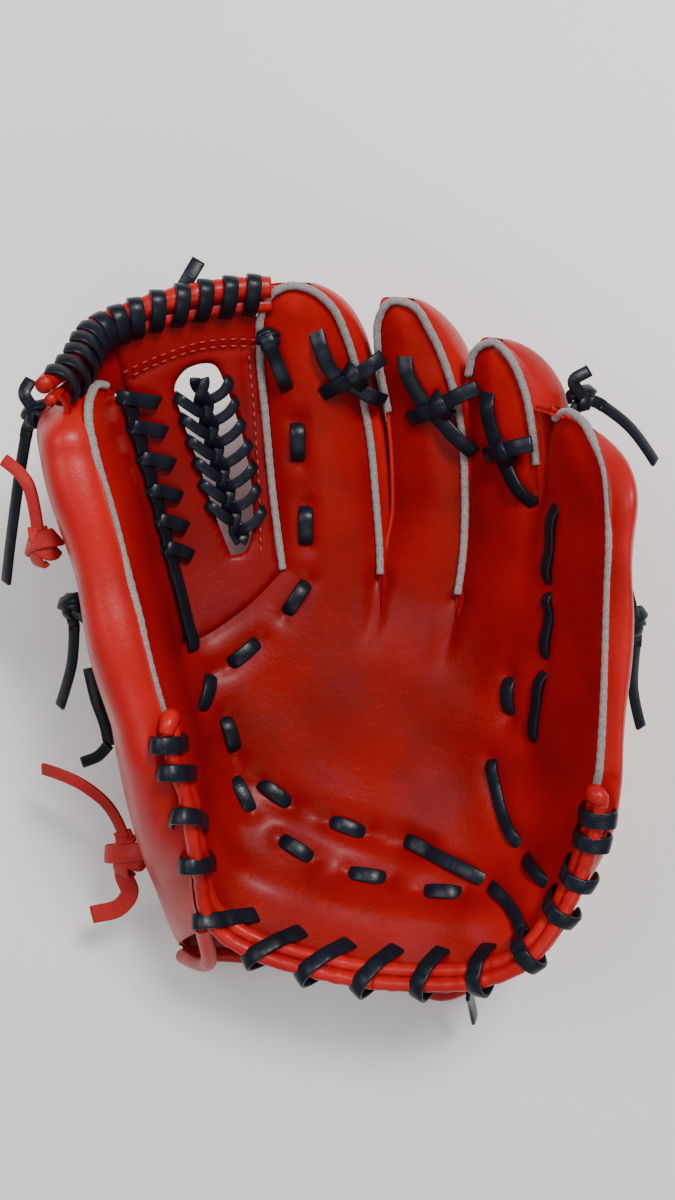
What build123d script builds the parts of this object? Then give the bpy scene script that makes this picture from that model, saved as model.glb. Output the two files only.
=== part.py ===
from build123d import *
import math
import os

import numpy as np

# A baseball fielder's glove for the left hand, lying on its back with the pocket up.
# +Y runs from the heel to the fingertips, +X to the little finger, +Z out of the pocket.
# Every leather panel is placed on one bowl-shaped surface, the pocket, by three numbers in mm:
#   s  along the section across the glove, minus on the thumb side, plus on the pinky side
#   v  along the spine from the heel edge, about 0, to the fingertips, about 285
#   h  off the surface: plus into the pocket, minus into the leather and the hand

os.makedirs("parts", exist_ok=True)

# ---- driving dimensions, mm and degrees
SPINE_X = 3.0            # where the spine, s = 0, stands
HEEL_Y = -132.0          # the spine's heel edge
HEEL_Z = 79.0
HEEL_RISE = 42.0         # the heel leans up by this much
FINGER_RISE = 46.0       # and the fingertips by this much
PALM_START = 95.0        # the flat of the palm, along v
PALM_END = 150.0
SPINE_END = 290.0
LEATHER = 2.2
LINING = 1.0
GAP = 0.5                # air between two layers
HINGE_GAP = 1.2          # air on each side of a fold line
CORNER_GAP = 1.2         # more of it where the web's corner swings past the rim
LACE_WIDTH = 5.6
LACE_THICK = 1.7
WELT_WIDTH = 2.2
ROLL_RADIUS = 2.7        # one of the two rolls on the heel edge
PINKY_RIDGE = 146.0      # s of the pinky's ridge, and of the thumb's
THUMB_RIDGE = 132.0
SLOT_CUT = 200.0         # tall enough to cut right through the web
FINGER_ROOT = 163.0      # v where the finger fronts begin
CORD_DIAMETER = 5.0      # a hanging lace end, as a plain tube
TO_ORIGIN = (-7.0, 5.5, 0.1)   # puts the origin under the middle of the glove


def smooth(x):
    x = np.clip(x, 0, 1)
    return x * x * (3 - 2 * x)


def curve(*points):
    """A smooth function through a few (at, value) points, level past both ends."""
    at, value = np.array(points, float).T
    slope = np.gradient(value, at)

    def along(x):
        x = np.clip(np.asarray(x, float), at[0], at[-1])
        k = np.clip(np.searchsorted(at, x) - 1, 0, len(at) - 2)
        wide = at[k + 1] - at[k]
        t = (x - at[k]) / wide
        rise = value[k + 1] - value[k]
        lead, tail = slope[k] * wide, slope[k + 1] * wide
        bend = t * (1 - t) * ((1 - t) * (lead - rise) + t * (rise - tail))
        return value[k] + rise * t + bend

    return along


# ---- outlines of the pattern, mm
thumb_fold = curve((-20, 49), (85, 49), (140, 60.5), (200, 73), (245, 82.5), (300, 91))
pinky_fold = curve((-20, 85), (60, 80), (120, 80), (170, 84), (210, 86), (232, 82.5), (252, 76), (262, 70))
heel_edge = curve((-110, 101), (-103, 86), (-90, 60), (-65, 41), (-44, 25), (-5, 11), (35, 4),
                  (58, 1), (76, 3), (94, 16), (110, 32), (124, 52), (134, 76))
web_top = curve((-150, 268), (-98, 274), (-66, 284), (-40, 287), (-20, 287))
index_left = curve((137, -64), (145, -50), (156, -35.5), (168, -22.5), (198, -25.5), (231, -28), (264, -29),
                   (280, -27), (287, -22))
index_right = curve((167, 16.7), (198, 14.9), (223, 12.3), (246, 7.7), (265, 2.5), (277, -4), (286, -13))
middle_left = curve((160, 20), (200, 21), (240, 19), (265, 15), (278, 17), (283, 22))
middle_right = curve((156, 47.8), (173, 50.7), (199, 51.6), (229, 48.9), (252, 43), (269, 35), (281, 25))
ring_left = curve((150, 52), (200, 55.5), (240, 55.5), (257, 56), (267, 60.5))
ring_right = curve((200, 84.5), (232, 81), (251, 74.5), (262, 66), (268, 60))
thumb_ridge = curve((88, 103), (112, 118), (136, 128), (165, THUMB_RIDGE), (228, THUMB_RIDGE), (246, 126),
                    (254, 116))
pinky_ridge = curve((50, 122), (79, 131), (106, 139), (140, PINKY_RIDGE), (190, PINKY_RIDGE + 2), (221, 140),
                    (236, 124), (244, 104))
hand_depth = curve((-10, 72), (0, 69), (25, 60), (50, 55), (95, 48), (150, 47), (180, 37), (205, 29),
                   (250, 25), (290, 20))


def spine_slope(v):
    heel = -HEEL_RISE * (1 - np.clip(v, -30, PALM_START) / PALM_START)
    tips = FINGER_RISE * np.clip((v - PALM_END) / (SPINE_END - PALM_END), 0, 1.2)
    return np.radians(np.where(v < PALM_START, heel, 0) + np.where(v > PALM_END, tips, 0))


def spine_point(v):
    """(Y, Z) of the spine, by adding up its slope from the heel edge."""
    table = np.linspace(-30, 340, 1481)
    middle = spine_slope((table[1:] + table[:-1]) / 2)
    step = table[1] - table[0]
    y = np.concatenate([[0], np.cumsum(np.cos(middle))]) * step
    z = np.concatenate([[0], np.cumsum(np.sin(middle))]) * step
    heel_y, heel_z = np.interp(0, table, y), np.interp(0, table, z)
    return np.interp(v, table, y) - heel_y + HEEL_Y, np.interp(v, table, z) - heel_z + HEEL_Z


def section_slope(s, v):
    """How far the section has turned from level at s, in radians, plus to either side."""
    to_pinky = 8 * smooth(s / 30) + 80 * smooth((s - 5) / 150)
    to_thumb = 18 * smooth((-s - 5) / 50) + 68 * smooth((-s - thumb_fold(v) + 12) / 30)
    return np.radians(np.where(s >= 0, to_pinky, to_thumb))


def place(s, v, h, lean=1.0):
    """The point in space of a pattern point. lean under 1 keeps deep points below the spine."""
    s, v, h = np.broadcast_arrays(np.asarray(s, float), np.asarray(v, float), np.asarray(h, float))
    part = (np.arange(48) + 0.5) / 48
    turned = section_slope(s[..., None] * part, v[..., None])
    across = np.cos(turned).mean(-1) * s
    up = np.sin(turned).mean(-1) * np.abs(s)
    turn = section_slope(s, v) * np.where(s >= 0, 1, -1)
    slope = spine_slope(v)
    tilt = np.where(slope > 0, 0.62, 0.95) * slope
    y, z = spine_point(v)
    x = SPINE_X + across - h * np.sin(turn)
    deep = tilt * lean
    y = y - up * np.sin(tilt) - h * np.cos(turn) * np.sin(deep)
    z = z + up * np.cos(tilt) + h * np.cos(turn) * np.cos(deep)
    return np.stack([x, y, z], -1)


# ---- how a panel, a strip or a roll becomes a solid
def block(at, across=6, along=9):
    """A closed solid whose faces follow at(a, b, c), each number from 0 to 1; c is the thickness."""
    a = np.linspace(0, 1, across)[:, None]
    b = np.linspace(0, 1, along)[None, :]
    faces = []
    for c in (0.0, 1.0):
        grid = np.broadcast_to(at(a, b, c), (across, along, 3))
        rows = [[tuple(float(x) for x in point) for point in row] for row in grid]
        faces.append(Face.make_surface_from_array_of_points(rows, tol=0.05))
    low, high = faces
    walls = []
    for edge in low.edges():
        twin = min(high.edges(), key=lambda other: (other @ 0.5 - edge @ 0.5).length)
        walls.append(Face.make_surface_from_curves(edge, twin))
    solid = Solid(Shell([low, high] + walls))
    return solid if solid.volume > 0 else Solid(Shell([-f for f in solid.faces()]))


def mix(low, high, t):
    return low + (high - low) * t


def panel(left, right, foot, top, under, over, across=6, along=9, lean=1.0):
    """A sheet between two edges, given by v, with its foot and top given by a, and two heights."""

    def at(a, b, c):
        v = mix(foot(a), top(a), b)
        s = mix(left(v), right(v), a)
        return place(s, v, mix(under(s, v), over(s, v), c), lean)

    return block(at, across, along)


def level(value):
    return lambda *_: value + 0.0 * np.asarray(_[0], float)


def strip(points, width, under, over, along=5):
    """A flat strip laid on the surface through (s, v) points."""
    s, v = np.array(points, float).T
    run = np.concatenate([[0], np.cumsum(np.hypot(np.diff(s), np.diff(v)))])
    s_at, v_at = curve(*zip(run, s)), curve(*zip(run, v))

    def at(a, b, c):
        here = run[-1] * b
        ds = s_at(here + 0.5) - s_at(here - 0.5)
        dv = v_at(here + 0.5) - v_at(here - 0.5)
        size = np.hypot(ds, dv)
        side = (a - 0.5) * width
        return place(s_at(here) + side * dv / size, v_at(here) - side * ds / size, mix(under, over, c))

    return block(at, 3, along)


def heel_at(s, back, aside=0.0):
    """The pattern point that lies back from the heel edge, square to it, and aside along it."""
    slope = heel_edge(s + 0.5) - heel_edge(s - 0.5)
    size = np.hypot(1, slope)
    return s + (back * slope + aside) / size, heel_edge(s) + (aside * slope - back) / size


def roll(s_from, s_to, back, height, radius, along=9):
    """A rolled edge along the heel: its middle is back from the heel edge and height off the surface."""

    def at(a, b, c):
        s, v = heel_at(mix(s_from, s_to, b), back - radius * np.cos(np.pi * a))
        h = height + radius * (0.25 + 0.75 * np.sin(np.pi * a)) * (2 * c - 1)
        return place(s, v, h)

    return block(at, 5, along)


def wrap(s_at):
    """One turn of lace over the two heel rolls, from the palm side over and down behind."""

    def at(a, b, c):
        turn = math.radians(16) + math.radians(174) * b
        size = 1 + c * LACE_THICK / 6.0
        back = ROLL_RADIUS * 2.05 - (ROLL_RADIUS * 2 + 1.9) * size * np.cos(turn)
        s, v = heel_at(s_at, back, (a - 0.5) * LACE_WIDTH)
        h = -0.4 + (ROLL_RADIUS + 2.1) * size * np.sin(turn)
        return place(s, v, h)

    return block(at, 3, 8)


def shell(left, right, v_from, v_to, thickness, cap=22.0):
    """The back of a finger stall: an arch from its left seam round below the finger to its right seam."""
    start = LEATHER + GAP

    def at(a, b, c):
        v = mix(v_from, v_to, b)
        near_tip = np.clip((v - v_to + cap) / cap, 0, 1)
        low, high = left(v) + 0.6, right(v) - 0.6
        inner = thickness * (1 - c)
        deep = (hand_depth(v) - start) * np.sqrt(1 - 0.8 * near_tip ** 2) - inner
        s = (low + high) / 2 - ((high - low) / 2 - inner) * np.cos(np.pi * a)
        return place(s, v, -start - deep * np.sin(np.pi * a))

    return block(at, 9, 9)


def save(node, *solids):
    made = [s for solid in solids for s in solid.solids()]
    shape = made[0] if len(made) == 1 else Compound(children=made)
    shape = Pos(*TO_ORIGIN) * shape
    shape.label = node
    export_step(shape, f"parts/{node}.step")
    return shape


def ring_seam(v):
    return np.minimum(ring_right(v), pinky_fold(v) - HINGE_GAP) - 3.4


def hand_left(v):
    return np.where(v < 137, -thumb_fold(v) + HINGE_GAP, index_left(v))


def hand_right(v):
    return pinky_fold(v) - HINGE_GAP


def heel_foot(a):
    return heel_edge(mix(-thumb_fold(20), pinky_fold(3), a))


# ---- the hide of the palm, and its index, middle and ring fronts, parted where the fingers begin
def palm_hide():
    save("palm_leather", panel(hand_left, hand_right, lambda a: heel_foot(a) + 0.6, level(FINGER_ROOT),
                               level(-LEATHER), level(0.0), 9, 13))
    fronts = {
        "index": (index_left, lambda v: index_right(v) - 0.9, 284.0),
        "middle": (middle_left, lambda v: middle_right(v) - 0.9, 280.0),
        "ring": (ring_left, lambda v: ring_seam(v) - 0.9, 264.0),
    }
    for name, (left, right, top) in fronts.items():
        save(f"{name}_finger_front", panel(left, right, level(FINGER_ROOT + 0.5), level(top),
                                           level(-LEATHER), level(0.0), 4, 9))


def lining_top(s, v):
    return -8.0 - 2.8 * (1 - smooth((v - 20) / 90))


def lining_under(s, v):
    return lining_top(s, v) - LINING


def palm_layers():
    inset = 4.0
    felt_left = lambda v: hand_left(v) + inset + 14 * smooth((v - 118) / 20)
    felt_right = lambda v: hand_right(v) - inset
    save("palm_felt_pad", panel(felt_left, felt_right, level(64.0), level(154.0),
                                lambda s, v: lining_top(s, v) + 0.9, level(-LEATHER - 2.4)))
    save("heel_felt_pad", panel(lambda v: hand_left(v) + inset, felt_right, lambda a: heel_foot(a) + 13,
                                level(62.0), lambda s, v: lining_top(s, v) + 0.9, level(-LEATHER - 2.4)))
    save("palm_lining", panel(felt_left, felt_right, lambda a: heel_foot(a) + 12, level(152.0),
                              lining_under, lining_top))


# ---- the backs of the fingers, their plastic stays and the welts in their seams
def finger_stay(left, right, v_from, v_to):
    middle = lambda v: (left(v) + right(v)) / 2
    deep = lambda s, v: -hand_depth(v) + LEATHER + 3.6
    return panel(lambda v: middle(v) - 4.5, lambda v: middle(v) + 4.5, level(v_from), level(v_to),
                 deep, lambda s, v: deep(s, v) + 1.4, 3, 7)


def welt(edge, v_from, v_to, side):
    """Felt piping along a seam; side is +1 where the front leather lies on its minus s side."""
    inner = lambda v: edge(v) + side * 0.3
    outer = lambda v: edge(v) + side * WELT_WIDTH
    left, right = (inner, outer) if side > 0 else (outer, inner)
    return panel(left, right, level(v_from), level(v_to), level(-1.6), level(1.2), 3, 9)


def fingers():
    stalls = {
        "index": (index_left, lambda v: index_right(v) + 0.4, 286.0),
        "middle": (middle_left, middle_right, 280.0),
        "ring": (ring_left, lambda v: ring_seam(v) + WELT_WIDTH + 0.6, 265.0),
    }
    for name, (left, right, top) in stalls.items():
        save(f"{name}_finger_back", shell(left, right, 167.0, top, LEATHER))
        save(f"{name}_finger_stay", finger_stay(left, right, 172.0, top - 34))


def welts():
    save("index_welt", welt(index_right, 172, 281, 1), welt(lambda v: index_left(v) - 0.6, 175, 262, -1))
    save("middle_welt", welt(middle_right, 170, 278, 1))
    save("ring_welt", welt(ring_seam, 176, 262, 1))
    save("thumb_welt", welt(lambda v: -thumb_ridge(v) - 0.7, 110, 250, -1))
    save("pinky_welt", welt(lambda v: pinky_ridge(v) + 0.7, 80, 239, 1))


# ---- the back of the hand, the wrist strap and their binding
def outside(s, v):
    return -hand_depth(v) * (1 - 0.22 * smooth((np.abs(s) - 40) / 40))


def grounded(left, right, v_from, v_to, raise_low, raise_high, across=11, along=7):
    """A sheet of the back: it follows the outside of the hand and lies flat where it meets the ground."""

    def at(a, b, c):
        v = mix(v_from, v_to, b)
        s = mix(left(v), right(v), a)
        lift = mix(raise_low, raise_high, c)
        point = place(s, v, outside(s, v) + lift, 0.35)
        ground = lift
        softness = 0.8
        above = (point[..., 2] - ground) / softness
        point[..., 2] = ground + softness * np.log1p(np.exp(np.clip(above, -30, 30)))
        return point

    return block(at, across, along)


def strap_left(v):
    return -38.0 + 0.0 * v


def strap_right(v):
    return 66.0 + 0.0 * v


def hand_back():
    def left(v):
        return -thumb_fold(v) + 4

    def right(v):
        return hand_right(v) - 3

    save("hand_back_leather", grounded(left, right, 62, 164, 0, LEATHER))
    above = LEATHER + 2.8
    save("hand_back_lining",
         grounded(lambda v: left(v) + 5, lambda v: right(v) - 5, 66, 160, above, above + LINING))
    save("wrist_strap", grounded(strap_left, strap_right, 4, 40, 0, LEATHER + 1))
    save("wrist_strap_binding", grounded(strap_left, strap_right, -3.4, 3.4, 0, 5.6, 11, 3),
         grounded(strap_left, strap_right, 40.6, 46, 0, 5.0, 11, 3))


# ---- the web between the index finger and the thumb
def web():
    left = lambda v: -thumb_fold(v) + HINGE_GAP
    right = lambda v: np.where(v < 166, -21.0, index_left(v) - WELT_WIDTH - 1.2)
    foot = curve((0, 137), (0.35, 146), (0.7, 157), (1, 170))
    top = lambda a: web_top(mix(-88, -27, a))
    sheet = panel(left, right, foot, lambda a: top(a) - 3, level(-5.0), level(-LEATHER - GAP), 7, 9)
    corners = [(-46.5, 179), (-56.5, 211), (-64, 250), (-48, 250), (-39, 211), (-40.5, 179)]
    outline = [place(s, v, 0.0) for s, v in corners]
    floor = Polyline(*[(float(x), float(y)) for x, y, _ in outline], close=True)
    slot = extrude(make_face(floor), SLOT_CUT)
    save("web_panel", sheet - slot)
    save("web_rim", panel(left, lambda v: right(v) + 1.0, lambda a: top(a) - 2.4, lambda a: top(a) + 3,
                          level(-6.0), level(0.2), 7, 3))
    turns = []
    for s in (-34, -43, -52, -61, -70, -79):
        turns.append(over_rim(s))
    save("web_rim_lace", *turns)
    spine = strip([(-43.6, 184), (-48, 206), (-53, 229), (-56, 247)], 3.4, -4.4, -1.2)
    arms = []
    for k in range(7):
        v = 189 + 9 * k
        middle = -44.6 - 1.6 * k
        arms.append(strip([(middle + 2.6, v - 1), (middle + 15, v + 6)], 4.4, -1.7, -0.2, 3))
        arms.append(strip([(middle - 2.6, v + 1), (middle - 11, v + 6)], 4.0, -1.7, -0.2, 3))
    save("web_ladder_lace", spine, *arms)
    bars = []
    for k in range(6):
        v = 181 + 12 * k
        fold = -float(thumb_fold(v))
        bars.append(strip([(fold + 2, v + 1.5), (fold + 8.5, v)], LACE_WIDTH, -1.7, -0.2, 3))
    bars.append(strip([(-63.5, 170), (-60, 156), (-56, 145)], LACE_WIDTH, 0.9, 2.4))
    bars.append(strip([(-53.5, 132), (-51, 122), (-49, 114)], LACE_WIDTH, 0.9, 2.4))
    save("web_thumb_lace", *bars)


def over_rim(s):
    def at(a, b, c):
        turn = math.radians(20) + math.radians(180) * b
        size = 1 + c * LACE_THICK / 6
        v = web_top(s) + 0.4 - 6.8 * size * np.cos(turn)
        h = -2.9 + 5.8 * size * np.sin(turn)
        return place(s + (a - 0.5) * LACE_WIDTH, v, h)

    return block(at, 3, 8)


# ---- the thumb stall and the pinky stall, the two walls that fold
def wall_back(fold, ridge, side, v_from, v_to):
    """The outer half of a stall: from the welt on the ridge out, round and down to the fold line."""
    across_at = curve((0, 0), (0.12, 2.5), (0.3, 3.0), (0.5, -5), (1, -100))
    depth_at = curve((0, 2.5), (0.12, 8), (0.3, 21), (0.5, 28), (1, 34))

    def at(a, b, c):
        v = mix(v_from, v_to, b)
        near_tip = np.clip((v - v_to + 20) / 20, 0, 1)
        slim = np.sqrt(1 - 0.8 * near_tip ** 2)
        wide = ridge(v) - fold(v)
        fall = np.where(a > 0.5, (a - 0.5) * 2, 0)
        out = across_at(np.minimum(a, 0.5))
        s = fold(v) + wide + out - fall * (wide - 5 - HINGE_GAP)
        low = mix(28, -outside(fold(v), v), fall)
        deep = np.where(a > 0.5, low, depth_at(np.minimum(a, 0.5))) * slim
        inner = LEATHER * (1 - c)
        s = s - inner * np.clip(1 - fall * 3, 0, 1)
        deep = deep - inner * smooth(a / 0.25)
        return place(side * s, v, -deep - 0.2, 0.6)

    return block(at, 13, 11)


def stall(name, fold, ridge, side, foot, tip):
    rough = lambda v, inset: (side * (fold(v) + inset), side * (ridge(v) - inset * 0.9))

    def sheet(inset, raise_foot, lower_tip, under, over):
        inner = lambda v: rough(v, inset)[0]
        outer = lambda v: rough(v, inset)[1]
        low = lambda a: foot(a) + raise_foot
        return panel(inner, outer, low, level(tip - lower_tip), level(under), level(over), 6, 9)

    save(f"{name}_front_leather", sheet(HINGE_GAP, 0.6, 0, -LEATHER, 0.0))
    save(f"{name}_felt_pad", sheet(7.0, 13, 14, -6.0, -LEATHER - 1.0))


def stalls():
    thumb_foot = curve((0, 28), (0.25, 40), (0.63, 60), (0.83, 84), (1, 104))
    pinky_foot = curve((0, 8), (0.21, 16), (0.55, 32), (0.85, 54), (1, 74))
    stall("thumb", thumb_fold, thumb_ridge, -1, thumb_foot, 252.0)
    stall("pinky", pinky_fold, pinky_ridge, 1, pinky_foot, 241.0)
    save("thumb_back_leather", wall_back(thumb_fold, thumb_ridge, -1, 92, 253))
    save("pinky_back_leather", wall_back(pinky_fold, pinky_ridge, 1, 66, 243))


# ---- the rolled heel edge and the lace over it
def heel():
    spans = {
        "hand": (-float(thumb_fold(20)) + HINGE_GAP, float(pinky_fold(3)) - HINGE_GAP,
                 (-42, -24, -5, 15, 35, 56, 76)),
        "thumb": (-102.0, -float(thumb_fold(20)) - HINGE_GAP, (-98, -88, -76, -60)),
        "pinky": (float(pinky_fold(3)) + HINGE_GAP, 133.0, (94, 107, 119, 129)),
    }
    for name, (start, end, turns) in spans.items():
        save(f"{name}_heel_rolls", roll(start, end, ROLL_RADIUS + 0.2, 0.2, ROLL_RADIUS),
             roll(start, end, 3 * ROLL_RADIUS + 0.5, -0.8, ROLL_RADIUS))
        save(f"{name}_heel_lace", *[wrap(s) for s in turns])


# ---- stitches of lace in the palm, and the ties between the fingers
def stitch(s, v, along_s, along_v):
    reach = 8.2 / math.hypot(along_s, along_v)
    ds, dv = along_s * reach, along_v * reach
    return strip([(s - ds, v - dv), (s + ds, v + dv)], LACE_WIDTH, 0.9, 2.4, 3)


def palm_laces():
    marks = [(-16, 222, 0, 1), (-13, 187, 0, 1), (-17, 157, -2, -3), (-38, 134, -3, -2), (-44, 101, 1, -3),
             (-38, 76, 2, -3), (-25, 77, 3, -2), (4, 63, 3, -1), (-17, 54, 3, -2), (12, 43, 3, -0.5),
             (42, 35, 3, -0.5), (73, 118, 0, 1)]
    runs = [
        strip([(27, 57), (38, 51.5), (57, 40), (74, 23)], LACE_WIDTH, 0.9, 2.4, 7),
        strip([(65, 92), (69, 69), (75.5, 50)], LACE_WIDTH, 0.9, 2.4, 7),
    ]
    save("palm_lace", *[stitch(*mark) for mark in marks], *runs)
    save("pinky_wall_lace",
         strip([(100, 195), (97, 180), (95, 163)], LACE_WIDTH, 0.9, 2.4, 4),
         strip([(94, 150), (92, 136), (88, 120)], LACE_WIDTH, 0.9, 2.4, 4),
         strip([(88, 112), (87, 98)], LACE_WIDTH, 0.9, 2.4, 4),
         strip([(88.5, 40), (92, 27)], LACE_WIDTH, 0.9, 2.4, 4))


def finger_ties():
    ties = {
        "index_middle": ((-6, 262), (9, 240), (-2, 246), (16, 252)),
        "middle_ring": ((28, 254), (52, 224), (31, 234), (57, 242)),
        "ring_pinky": ((60, 240), (76, 205), (62, 224), (81, 224)),
    }
    for name, (start, end, low, high) in ties.items():
        strap = strip([start, end], LACE_WIDTH, 1.9, 3.5, 4)
        save(f"{name}_tie", strap, strip([low, high], 6.4, 4.3, 6.0, 4))
    save("index_web_tie", strip([(-25, 262), (-20.5, 243)], LACE_WIDTH, 0.9, 2.4, 3))


# ---- the web's corner, which is laced over the thumb's tip
def web_corner():
    left = lambda v: -126.0 + 0.0 * v
    right = lambda v: -thumb_fold(v) - HINGE_GAP - CORNER_GAP
    foot = level(257.0)
    top = lambda a: web_top(mix(-126, -88, a))
    flap = panel(left, right, foot, lambda a: top(a) - 3, level(-5.0), level(-LEATHER - GAP), 5, 3)
    edge = panel(left, right, lambda a: top(a) - 2.4, lambda a: top(a) + 3, level(-6.0), level(0.2), 5, 3)
    save("web_corner", flap, edge)
    save("web_corner_lace", *[over_rim(s) for s in (-97, -105, -113, -121)])


# ---- knots and the lace ends that hang from them, each centre (X, Y, Z) in mm
THUMB_TIP = (-110.4, 85.7, 99.9)
WEB_TIE = (-107.6, 35.5, 99.9)
THUMB_SIDE = (-105.9, 13.6, 53.9)
WRIST_TIE = (-84, -90, 44)
PINKY_TIP = (97.1, 93.7, 86.9)
PINKY_SIDE = (123.1, 7, 57.9)
KNOT_RADIUS = 5.0


def knot(name, centre, radius=KNOT_RADIUS):
    save(name, Pos(*centre) * Sphere(radius))


def tail(name, points):
    """A hanging lace end: straight runs joined by arcs as large as the runs allow."""
    route = [Vector(*point) for point in points]
    radii = []
    for before, here, after in zip(route, route[1:], route[2:]):
        turn = (here - before).get_angle(after - here)
        run = min((here - before).length, (after - here).length)
        radii.append(0.45 * run / math.tan(math.radians(turn / 2)))
    path = FilletPolyline(*route, radius=radii)
    start = Plane(origin=route[0], z_dir=route[1] - route[0])
    tube = sweep(start * Circle(CORD_DIAMETER / 2), path=path)
    expected = math.pi * CORD_DIAMETER ** 2 / 4 * path.length
    print(name, "length", round(path.length, 1), "radii", [round(r) for r in radii],
          "volume over expected", round(tube.volume / expected, 3))
    save(name, tube)


def knots_and_tails():
    knot("thumb_tip_knot", THUMB_TIP)
    knot("web_tie_knot", WEB_TIE, 6.0)
    knot("thumb_side_knot", THUMB_SIDE)
    knot("wrist_tie_knot", WRIST_TIE, 8.0)
    knot("pinky_tip_knot", PINKY_TIP)
    knot("pinky_side_knot", PINKY_SIDE, 6.0)
    tail("thumb_tip_tail",
         [(-114.3, 80.2, 96.9), (-117.8, 65.5, 92.9), (-121.7, 48.8, 85.9), (-125.7, 33.6, 76.9), (-128.4, 23.1, 69.9)])
    tail("web_tie_tail",
         [(-109.1, 41.5, 101.9), (-110.2, 53.3, 103.9), (-113.9, 63, 103.9), (-122.1, 68.5, 100.9)])
    tail("thumb_side_tail",
         [(-105.1, 5.3, 49.9), (-106.1, -6.8, 44.9), (-109.9, -18.3, 37.9), (-114.7, -29, 29.9)])
    tail("wrist_tie_tail",
         [(-85, -81.5, 47), (-88, -70, 53), (-98, -60, 57), (-110, -55, 53), (-119, -54, 44)])
    tail("pinky_tip_tail",
         [(104.2, 91.5, 85.9), (112.5, 86.9, 82.9), (121.3, 79.3, 77.9), (128.5, 70.5, 71.9)])
    tail("pinky_side_tail",
         [(124.7, -1.1, 53.9), (124.7, -12, 47.9), (126.1, -24.8, 40.9), (130.5, -37.4, 35.9)])


palm_hide()
palm_layers()
fingers()
welts()
hand_back()
web()
stalls()
heel()
palm_laces()
finger_ties()
web_corner()
knots_and_tails()
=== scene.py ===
import math

import bpy
import numpy as np
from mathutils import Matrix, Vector


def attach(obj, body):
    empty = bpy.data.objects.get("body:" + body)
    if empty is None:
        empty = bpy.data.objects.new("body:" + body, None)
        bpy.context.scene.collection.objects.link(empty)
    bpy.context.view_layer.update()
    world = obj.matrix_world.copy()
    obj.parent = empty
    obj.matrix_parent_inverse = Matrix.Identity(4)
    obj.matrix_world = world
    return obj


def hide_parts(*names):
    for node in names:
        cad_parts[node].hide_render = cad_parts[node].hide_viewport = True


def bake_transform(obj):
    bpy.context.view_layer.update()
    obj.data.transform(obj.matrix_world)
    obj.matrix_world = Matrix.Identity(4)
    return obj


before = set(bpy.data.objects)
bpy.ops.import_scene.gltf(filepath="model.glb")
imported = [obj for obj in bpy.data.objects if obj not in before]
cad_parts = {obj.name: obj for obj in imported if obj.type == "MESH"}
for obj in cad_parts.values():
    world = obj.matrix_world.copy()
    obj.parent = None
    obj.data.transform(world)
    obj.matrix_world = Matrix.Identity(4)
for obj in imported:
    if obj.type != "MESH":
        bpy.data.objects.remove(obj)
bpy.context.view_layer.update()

# Every piece is placed on the pocket's surface by (s, v, h) in mm: s across the section, v along the spine
# from the heel, h off the leather.
MM = 0.001
SPINE_X, HEEL_Y, HEEL_Z = -4.0, -126.5, 79.1
PALM_START, PALM_END, SPINE_END = 95.0, 150.0, 290.0
HEEL_RISE, FINGER_RISE = 42.0, 46.0
THUMB_RIDGE, PINKY_RIDGE = 132.0, 146.0
LACE_WIDTH, LACE_THICK = 6.0, 1.9
ROLL_RADIUS = 2.9
SHELL_THICK, BACK_THICK, STRAP_THICK, LINING_THICK, PANEL_THICK = 1.8, 2.2, 2.8, 1.2, 2.8
PALM_CUT = 15.0
WALL_BOTTOM_THUMB, WALL_BOTTOM_PINKY = 108.0, 78.0
HAND, THUMB_SIDE, PINKY_SIDE = "hand", "thumb_side", "pinky_side"
HIDE, LINING_HIDE, FELT = "red_leather", "lining_leather", "welt_felt"
BLACK_LACE, RED_THONG = "black_lace", "red_lace"

# ---------------- the surface


def smooth(x):
    """0 up to x = 0, 1 from x = 1, and a soft step between."""
    x = np.clip(x, 0, 1)
    return x * x * (3 - 2 * x)


def mix(low, high, t):
    return low + (high - low) * t


def curve(*points):
    """A smooth function through a few (at, value) points, level past both ends."""
    at, value = np.array(points, float).T
    slope = np.gradient(value, at)

    def along(x):
        x = np.clip(np.asarray(x, float), at[0], at[-1])
        k = np.clip(np.searchsorted(at, x) - 1, 0, len(at) - 2)
        wide = at[k + 1] - at[k]
        t = (x - at[k]) / wide
        rise = value[k + 1] - value[k]
        lead, tail = slope[k] * wide, slope[k + 1] * wide
        bend = t * (1 - t) * ((1 - t) * (lead - rise) + t * (rise - tail))
        return value[k] + rise * t + bend

    return along


thumb_fold = curve((-20, 49), (85, 49), (140, 60.5), (200, 73), (245, 82.5), (300, 91))
pinky_fold = curve((-20, 85), (60, 80), (120, 80), (170, 84), (210, 86), (232, 82.5), (252, 76), (262, 70))
heel_edge = curve((-117, 121), (-110, 104), (-103, 87), (-90, 60), (-65, 41), (-44, 25), (-5, 11), (35, 4),
                  (58, 1), (76, 3), (94, 16), (110, 32), (124, 52), (134, 76))
web_top = curve((-150, 268), (-98, 274), (-66, 284), (-40, 287), (-20, 287))
thumb_ridge = curve((88, 103), (112, 118), (136, 128), (165, THUMB_RIDGE), (228, THUMB_RIDGE), (246, 126),
                    (254, 116))
pinky_ridge = curve((50, 122), (79, 131), (106, 139), (140, PINKY_RIDGE), (190, PINKY_RIDGE + 2), (221, 140),
                    (236, 124), (244, 104))
hand_depth = curve((-10, 72), (0, 69), (25, 60), (50, 55), (95, 48), (150, 47), (180, 37), (205, 29),
                   (250, 25), (290, 20))


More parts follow.
